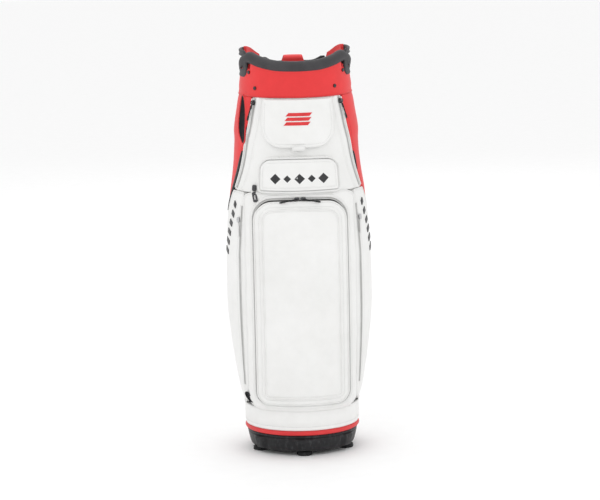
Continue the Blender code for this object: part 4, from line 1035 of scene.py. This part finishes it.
def makeLiftHandles():
    s = collar
    middle = (s["handleFrom"] + s["handleTo"]) / 2
    half = math.radians((s["handleTo"] - s["handleFrom"]) / 2) * reference
    top = seam + s["peak"]
    low = top - s["handleHeight"]
    slotLow, slotHigh = seam + s["peak"] - s["handleHeight"] + 0.018, top - 0.014
    outside, inside = coverRadius + 0.0078, coverRadius + 0.0030
    for side, word in ((-1, "left"), (1, "right")):
        place = lambda u, z, r, turn=side: polar(turn * (middle + math.degrees(u / reference)), r, z)
        edge = shapeOf(half, low, top, 0.018, 0.022)
        slot = shapeOf(half - 0.020, slotLow, slotHigh, 0.008, 0.008)
        e, e1, e2 = loopOf(edge), loopOf(inset(edge, 0.0015)), loopOf(inset(edge, 0.004))
        g, g1 = loopOf(slot), loopOf(inset(slot, -0.0016))
        mid = [((a + c) / 2, (b + d) / 2) for (a, b), (c, d) in zip(e2, g1)]
        loops = [laid(e, place, (outside + inside) / 2), laid(e1, place, outside), laid(e2, place, outside + 0.0004),
                 laid(mid, place, outside - 0.0010), laid(g1, place, outside + 0.0006), laid(g, place, outside - 0.0006),
                 laid(g, place, inside + 0.0006), laid(g1, place, inside), laid(e1, place, inside)]
        ringLoft(f"liftHandle{word.title()}", loops, finishes["grip"], hides=(f"lift_handle_{word}",),
                 slotName="black_plastic")


makeCollar()
makeRims()
makeLiftHandles()
print("collar and rim made")


# The base: moulded cup with a ledge and pads, piping, stitched band, feet.
baseParts = dict(cupOuter=0.0040, cupTaper=0.006, padAngle=54, padWidth=0.036, lobeWidth=0.050)


def makeBase():
    s = baseParts
    low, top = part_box("base_cup")
    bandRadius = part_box("base_band")[1].x
    outer, inner = bandRadius - s["cupOuter"], coverRadius - 0.004
    count = 180
    angles = [360 * k / count for k in range(count)]

    def padded(a, t):  # thicker pads above the feet
        turn = abs((a + 180) % 360 - 180)
        rise = 0.0
        for at, wide in ((s["padAngle"], s["padWidth"]), (126, s["padWidth"]), (180, s["lobeWidth"])):
            x = abs(turn - at) / math.degrees(wide / 2 / reference)
            rise = max(rise, 0.0048 / (1 + math.exp(14 * (x - 1))))
        x = turn / math.degrees(s["lobeWidth"] / 2 / reference * (0.55 + 0.45 * t))
        rise = max(rise, 0.0048 / (1 + math.exp(14 * (x - 1))))
        return rise * min(1, max(0, (0.80 - t) / 0.08))

    stations = [(0.0, -0.0075, 0), (0.03, -0.0050, 0), (0.10, -0.0022, 1), (0.25, -0.0012, 1), (0.5, -0.0004, 1),
                (0.70, 0, 1), (0.76, 0, 1), (0.79, 0.0002, 1), (0.81, -0.0016, 0), (0.84, -0.0018, 0),
                (0.86, 0.0006, 0), (0.94, 0.0008, 0), (0.985, 0.0006, 0), (1.0, -0.0006, 0)]
    loops = []
    for t, off, onPad in stations:
        z = low.z + (top.z - low.z) * t
        r = outer - s["cupTaper"] * (1 - t) ** 1.4
        loops.append([polar(a, r + off + onPad * padded(a, t), z) for a in angles])
    loops += [[polar(a, inner, top.z) for a in angles], [polar(a, inner, low.z + 0.008) for a in angles],
              [polar(a, 0.03, low.z + 0.008) for a in angles], [polar(a, 0.03, low.z) for a in angles]]
    ringLoft("baseCup", loops, finishes["plastic"], hides=("base_cup",), slotName="black_plastic")

    plow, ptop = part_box("base_piping")
    middle, high = (plow.z + ptop.z) / 2, (ptop.z - plow.z) / 2
    path = [polar(a, ptop.x - 0.0052, middle) for a in angles]
    section = [(0.0052 * math.cos(t), high * 0.98 * math.sin(t)) for t in [2 * math.pi * k / 16 for k in range(16)]]
    sweptPiece("basePiping", path, section, finishes["redTrim"], closed=True, hides=("base_piping",),
               slotName="red_leather")

    blow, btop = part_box("base_band")
    loops = []
    for t, off in ((0, -0.0040), (0.0, -0.0012), (0.05, -0.0002), (0.14, 0.0002), (0.19, -0.0009), (0.24, 0.0002),
                   (0.45, 0.0008), (0.70, 0.0008), (0.90, 0.0002), (0.97, -0.0006), (1.0, -0.0020), (1.0, -0.0060)):
        z = blow.z + (btop.z - blow.z) * t
        loops.append([polar(a, bandRadius + off + 0.0004 * noise.noise(Vector((a / 9, t * 2, 4.2))), z)
                      for a in angles])
    loops += [[polar(a, coverRadius + 0.0006, z) for a in angles] for z in (btop.z, blow.z)]
    band = ringLoft("baseBand", loops, finishes["white"], hides=("base_band",), slotName="white_leather")
    stitchZ = blow.z + (btop.z - blow.z) * 0.19
    stitches("bandStitches", [[(polar(a, bandRadius - 0.0001, stitchZ), polar(a, 1, 0)) for a in angles + [360]]],
             width=0.0009, height=0.0009)
    rim = [polar(a, bandRadius - 0.0004, btop.z - 0.0012) for a in angles]
    sweptPiece("bandTopPiping", rim, disc(0.0022, 8), finishes["whiteTrim"], closed=True, slotName="white_leather")


def makeVent():
    centreZ = bandTop + 0.022
    place = lambda u, z, off: polar(-60 + math.degrees(u / reference), sideRadius(z) + off, z)
    tilt = math.radians(-24)
    half, tall = 0.0155, 0.0080

    def turned(x, y):
        return (x * math.cos(tilt) - y * math.sin(tilt), centreZ + x * math.sin(tilt) + y * math.cos(tilt))

    turns = [2 * math.pi * k / 48 for k in range(48)]
    ring = [turned(half * math.cos(t), tall * math.sin(t)) for t in turns]
    outward = [outwardAt(place, u, v) for u, v in ring]
    sweptPiece("ventLip", laid(ring, place, 0.0052), disc(0.0018, 8), finishes["rubber"], closed=True,
               up=lambda i: outward[i], hides=("vent",), slotName="black_rubber")
    rings = [(k, 0.0034 + 0.0012 * (1 - k * k)) for k in (0.02, 0.3, 0.6, 0.85, 1.0)]
    loops = [[place(*turned(half * k * math.cos(t), tall * k * math.sin(t)), off) for t in turns] for k, off in rings]
    loops.append([place(*turned(half * math.cos(t), tall * math.sin(t)), 0.0010) for t in turns])
    ringLoft("ventMesh", loops, finishes["lining"], wrap=False, slotName="black_lining")
    for k in range(-3, 4):
        y = k * 0.0023
        reach = half * math.sqrt(max(0, 1 - (y / tall) ** 2)) * 0.96
        line = [turned(-reach + 2 * reach * i / 10, y) for i in range(11)]
        out = [outwardAt(place, u, v) for u, v in line]
        sweptPiece(f"ventRib{k + 4}", laid(line, place, 0.0048), disc(0.00045, 6), finishes["plastic"],
                   up=lambda i: out[i], slotName="black_plastic")


def makeFoot(name):
    low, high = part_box(name)
    c, r = (low + high) / 2, (high.x - low.x) / 2
    turns = [2 * math.pi * k / 40 for k in range(40)]
    loops = []
    for f, z in ((0.10, 0.0012), (0.55, 0.0012), (0.60, 0.0003), (0.86, 0.0), (0.95, 0.0008), (1.0, 0.0024), (1.0, 0.0048),
                 (0.94, 0.0054), (0.94, 0.0062), (0.99, 0.0068), (0.97, high.z), (0.10, high.z)):
        loops.append([Vector((c.x + r * f * math.cos(t), c.y + r * f * math.sin(t), z)) for t in turns])
    ringLoft(name.replace("foot", "rubberFoot").replace("_", "."), loops, finishes["rubber"], wrap=False,
             hides=(name,), slotName="black_rubber")


makeBase()
makeVent()
for word in ("front", "front_left", "front_right", "rear_left", "rear_right"):
    makeFoot("foot_" + word)
print("base made")


# The back, its strap and the rear handle.
def makeBack():
    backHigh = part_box("back_cover")[1]
    radius = backHigh.y
    half = math.radians(180 - 125.5) * reference
    place = lambda u, z, off: polar(180 - math.degrees(u / reference), radius + off, z)
    shape = shapeOf(half, bandTop + 0.003, seam - 0.0004, 0.012, 0.004)

    def puff(u, v, d):
        rise = 0.0026 * (1 - math.exp(-d / 0.012)) + 0.0006 * ripple(u, v, 0.06, 8.0)
        channels = sum(0.0016 * math.exp(-((abs(u) - k) / 0.0022) ** 2) for k in (0.040, 0.085))
        return rise - channels - 0.0022

    panel = softPanel("backPanel", shape, place, puff, finishes["white"], cols=80, rows=110, pull=0.4,
                      hides=("back_cover",), slotName="white_leather")
    piping("backPiping", inset(shape, 0.0008), place, -0.0010, 0.0018, finishes["whiteTrim"], slotName="white_leather")
    lines = [[(side * k, bandTop + 0.02 + 0.01 * i) for i in range(65)] for side in (-1, 1) for k in (0.036, 0.089)]
    stitches("backStitches", [pathOn(line, place, 0.0006, closed=False) for line in lines])


def makeStrap():
    low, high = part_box("shoulder_strap")
    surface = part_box("back_cover")[1].y + 0.0015
    deepest = high.y - surface - 0.013
    loops, path = [], []
    steps = 64
    for i in range(steps + 1):
        t = i / steps
        bow = math.sin(math.pi * t) ** 0.7 * deepest
        thick = 0.013 * (0.35 + 0.65 * math.sin(math.pi * min(1, max(0, 1.3 * t - 0.15))) ** 0.5)
        half = 0.028 * (0.62 + 0.38 * math.sin(math.pi * t) ** 0.6)
        z, y = high.z + (low.z - high.z) * t, surface + bow
        section = []
        for k in range(24):
            turn = 2 * math.pi * k / 24
            c, n = math.cos(turn), math.sin(turn)
            section.append((half * math.copysign(abs(c) ** 0.45, c), thick / 2 * (1 + math.copysign(abs(n) ** 0.6, n))))
        loops.append([Vector((x, y + d, z)) for x, d in section])
        path.append((y, z, half, thick))
    strap = ringLoft("shoulderStrap", loops, finishes["webbing"], wrap=False, hides=("shoulder_strap",),
                     slotName="black_lining")
    for side in (-1, 1):
        line = [(Vector((side * h * 0.80, y + th + 0.0003, z)), Vector((0, 1, 0))) for y, z, h, th in path[3:-3]]
        stitches(f"strapStitches{'Left' if side < 0 else 'Right'}", [line])


def makeRearHandle():
    low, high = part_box("rear_handle")
    s = collar
    seat = coverRadius - 0.0030
    clear, thick = s["rimRadius"] + 0.001, 0.0032
    top = rimHeight(180) + clear + 0.0075
    profile = []
    for k in range(25):  # over the rim, from inside to outside
        turn = math.pi * k / 24
        profile.append((seat - clear * math.cos(turn), top - 0.006 + 0.0060 * math.sin(turn) ** 0.6))
    profile = [(seat - clear, low.z + (top - 0.006 - low.z) * k / 5) for k in range(5)] + profile
    profile += [(seat + clear + 0.0012 * k / 5, top - 0.006 - (top - 0.006 - low.z) * k / 5) for k in range(1, 6)]
    half = (high.x - low.x) / 2
    loops = []
    for i, (y, z) in enumerate(profile):
        a, b = Vector(profile[max(i - 1, 0)]), Vector(profile[min(i + 1, len(profile) - 1)])
        tangent = (b - a).normalized()
        normal = Vector((-tangent.y, tangent.x))
        if i == 0:
            normal = Vector((-1, 0))
        loop = []
        for k in range(28):
            turn = 2 * math.pi * k / 28
            c, n = math.cos(turn), math.sin(turn)
            x = half * (0.80 + 0.36 * min(1, max(0, (top - z) / 0.024))) * math.copysign(abs(c) ** 0.35, c)
            lift = thick / 2 * (1 + math.copysign(abs(n) ** 0.7, n))
            yy, zz = y + normal.x * lift, z + normal.y * lift
            loop.append(Vector((x, yy - seat + math.sqrt(seat ** 2 - x * x), zz)))
        loops.append(loop)
    handle = ringLoft("rearHandle", loops, finishes["red"], wrap=False, hides=("rear_handle",), slotName="red_leather")


makeBack()
makeStrap()
makeRearHandle()
print("back made")


# Zip sliders with their pulls, and the collar's studs.
def roundedBox(name, node, material, body, bevel=0.0012, bodyMaterial=None):
    # A copy of a small hard node with rounded edges.
    import bmesh
    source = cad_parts[node]
    mesh = source.data.copy()
    obj = bpy.data.objects.new(name, mesh)
    bpy.context.scene.collection.objects.link(obj)
    bm = bmesh.new()
    bm.from_mesh(mesh)
    bmesh.ops.remove_doubles(bm, verts=bm.verts, dist=1e-5)
    bmesh.ops.dissolve_limit(bm, angle_limit=math.radians(1), verts=bm.verts, edges=bm.edges)
    bmesh.ops.recalc_face_normals(bm, faces=bm.faces)
    bm.to_mesh(mesh)
    bm.free()
    mesh.materials.clear()
    mesh.materials.append(material)
    rounding = obj.modifiers.new("rounding", "BEVEL")
    rounding.width, rounding.segments, rounding.limit_method = bevel, 3, "ANGLE"
    graph = bpy.context.evaluated_depsgraph_get()
    graph.update()
    done = bpy.data.meshes.new_from_object(obj.evaluated_get(graph))
    obj.modifiers.clear()
    obj.data = done
    for face in done.polygons:
        face.use_smooth = True
    settle(obj, body, (node,))
    return obj


hardware = [("front_slider_left", "gunmetal", "front_slider_left"), ("front_slider_right", "gunmetal", "front_slider_right"),
            ("valuables_slider", "gunmetal", "valuables_slider"), ("side_slider_left", "steel", "side_slider_left"),
            ("side_slider_right", "steel", "side_slider_right"), ("side_pull_left", "whiteTrim", "side_slider_left"),
            ("side_pull_right", "whiteTrim", "side_slider_right"), ("corner_slider_left", "gunmetal", "corner_slider_left"),
            ("corner_slider_right", "gunmetal", "corner_slider_right"), ("rim_buckle_left", "plastic", "bag"),
            ("rim_buckle_right", "plastic", "bag")]
for node, finishName, body in hardware:
    parts = node.split("_")
    roundedBox(parts[0] + "".join(w.title() for w in parts[1:]) + "Part", node, finishes[finishName], body,
               bevel=0.0006)

# Corded pulls: thick moulded ends on a thinner cord.
pulls = dict(frontLength=0.041, frontDrop=0.0075, frontRise=0.0047, cornerLength=0.036, cordRadius=0.0013,
             endRadius=0.0019)


def cordedPull(name, start, end, outward, body, node, thickFirst=0.28, thickLast=0.72):
    s = pulls
    points, steps = [], 36
    for i in range(steps + 1):
        t = i / steps
        bow = 0.0008 * math.sin(math.pi * t)
        points.append(start.lerp(end, t) + outward * bow)
    loops = sweep(points, disc(1.0, 10), False, lambda i: outward)
    for i, loop in enumerate(loops):
        t = i / steps
        thick = s["endRadius"] if t < thickFirst or t > thickLast else s["cordRadius"]
        thick *= 0.35 + 0.65 * min(1, 14 * min(t, 1 - t) + 0.05)
        if s["cordRadius"] == thick:
            thick *= 1 + 0.06 * math.sin(i * 2.4)
        loops[i] = [points[i] + (p - points[i]) * thick for p in loop]
    ringLoft(name, loops, finishes["rubber"], wrap=False, body=body, hides=(node,), slotName="black_rubber")


def makePulls():
    s = pulls
    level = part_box("front_slider_left")[1].z - 0.0045
    for side, word in ((-1, "left"), (1, "right")):
        start = frontPlace(side * 0.0040, level, s["frontRise"])
        end = frontPlace(side * (0.0040 + s["frontLength"]), level - s["frontDrop"], s["frontRise"])
        cordedPull(f"frontPull{word.title()}", start, end, Vector((0, -1, 0)), f"front_pull_{word}",
                   f"front_pull_{word}", thickFirst=0.42)
        low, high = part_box(f"corner_slider_{word}")
        hub = (low + high) / 2
        angle = math.degrees(math.atan2(hub.x, -hub.y))
        out = polar(angle, 1, 0)
        tangent = Vector((0, 0, 1)).cross(out)
        ring = [hub + out * 0.0040 + (tangent * math.cos(t) + Vector((0, 0, 1)) * math.sin(t)) * 0.0036
                for t in [2 * math.pi * k / 24 for k in range(24)]]
        sweptPiece(f"cornerRing{word.title()}", ring, disc(0.0012, 8), finishes["gunmetal"], closed=True,
                   up=lambda i: out, body=f"corner_slider_{word}", slotName="dark_metal")
        z = hub.z - 0.0035
        end = polar(angle + side * 6.2, sideRadius(z - 0.03) + 0.0030, z - s["cornerLength"])
        cordedPull(f"cornerPull{word.title()}", hub + out * 0.0042 + Vector((0, 0, -0.0035)), end, out,
                   f"corner_slider_{word}", f"corner_pull_{word}")


makePulls()

# The nodes whose shape is right keep it and take a finish.
kept = dict(body_tube="plastic", body_cover="lining", top_frame="plastic", divider_sheets="lining", stay_left="steel",
            stay_right="steel", strap_ring_upper="steel", strap_ring_lower="steel", strap_anchor_upper="webbing",
            strap_anchor_lower="webbing", valuables_puller="gunmetal", stud_front_left="gunmetal",
            stud_front_right="gunmetal", stud_side_left="gunmetal", stud_side_right="gunmetal")
for node, finishName in kept.items():
    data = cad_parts[node].data
    for k in range(len(data.materials)):
        data.materials[k] = finishes[finishName]
print("hardware made")


# Floor, light and camera.
view = dict(distance=6.2, around=-2.0, height=1.42, aim=(0.003, 0.0, 0.440), lens=170.5, roll=-1.25)


def makeStage():
    bpy.ops.mesh.primitive_plane_add(size=30, location=(0, 0, 0))
    floor = bpy.context.object
    floor.name = "paleFloor"
    floor.data.materials.append(finishes["floor"])
    world = bpy.data.worlds.new("studio")
    bpy.context.scene.world = world
    world.use_nodes = True
    world.node_tree.nodes["Background"].inputs["Color"].default_value = (1, 1, 1, 1)
    world.node_tree.nodes["Background"].inputs["Strength"].default_value = 1.00
    for name, place, size, power in (("key", (-1.6, -3.2, 3.6), 2.2, 11), ("fill", (3.0, -2.8, 2.2), 2.6, 5),
                                     ("top", (0, 0.4, 4.0), 2.5, 10), ("back", (0.5, 3.8, 2.6), 2.5, 12)):
        data = bpy.data.lights.new(name, "AREA")
        data.energy, data.size = power, size
        lamp = bpy.data.objects.new(name, data)
        lamp.location = place
        lamp.rotation_euler = (Vector((0, 0, 0.45)) - Vector(place)).to_track_quat("-Z", "Y").to_euler()
        bpy.context.scene.collection.objects.link(lamp)
    bpy.context.scene.view_settings.view_transform = "Standard"


def makeCamera():
    s = view
    turn = math.radians(s["around"])
    eye = Vector((s["distance"] * math.sin(turn), -s["distance"] * math.cos(turn), s["height"]))
    data = bpy.data.cameras.new("camera")
    data.lens, data.sensor_width = s["lens"], 36.0
    camera = bpy.data.objects.new("camera", data)
    facing = (Vector(s["aim"]) - eye).to_track_quat("-Z", "Y").to_matrix().to_4x4()
    camera.matrix_world = Matrix.Translation(eye) @ facing @ Matrix.Rotation(math.radians(s["roll"]), 4, "Z")
    bpy.context.scene.collection.objects.link(camera)
    bpy.context.scene.camera = camera


makeStage()
makeCamera()
print("stage set")
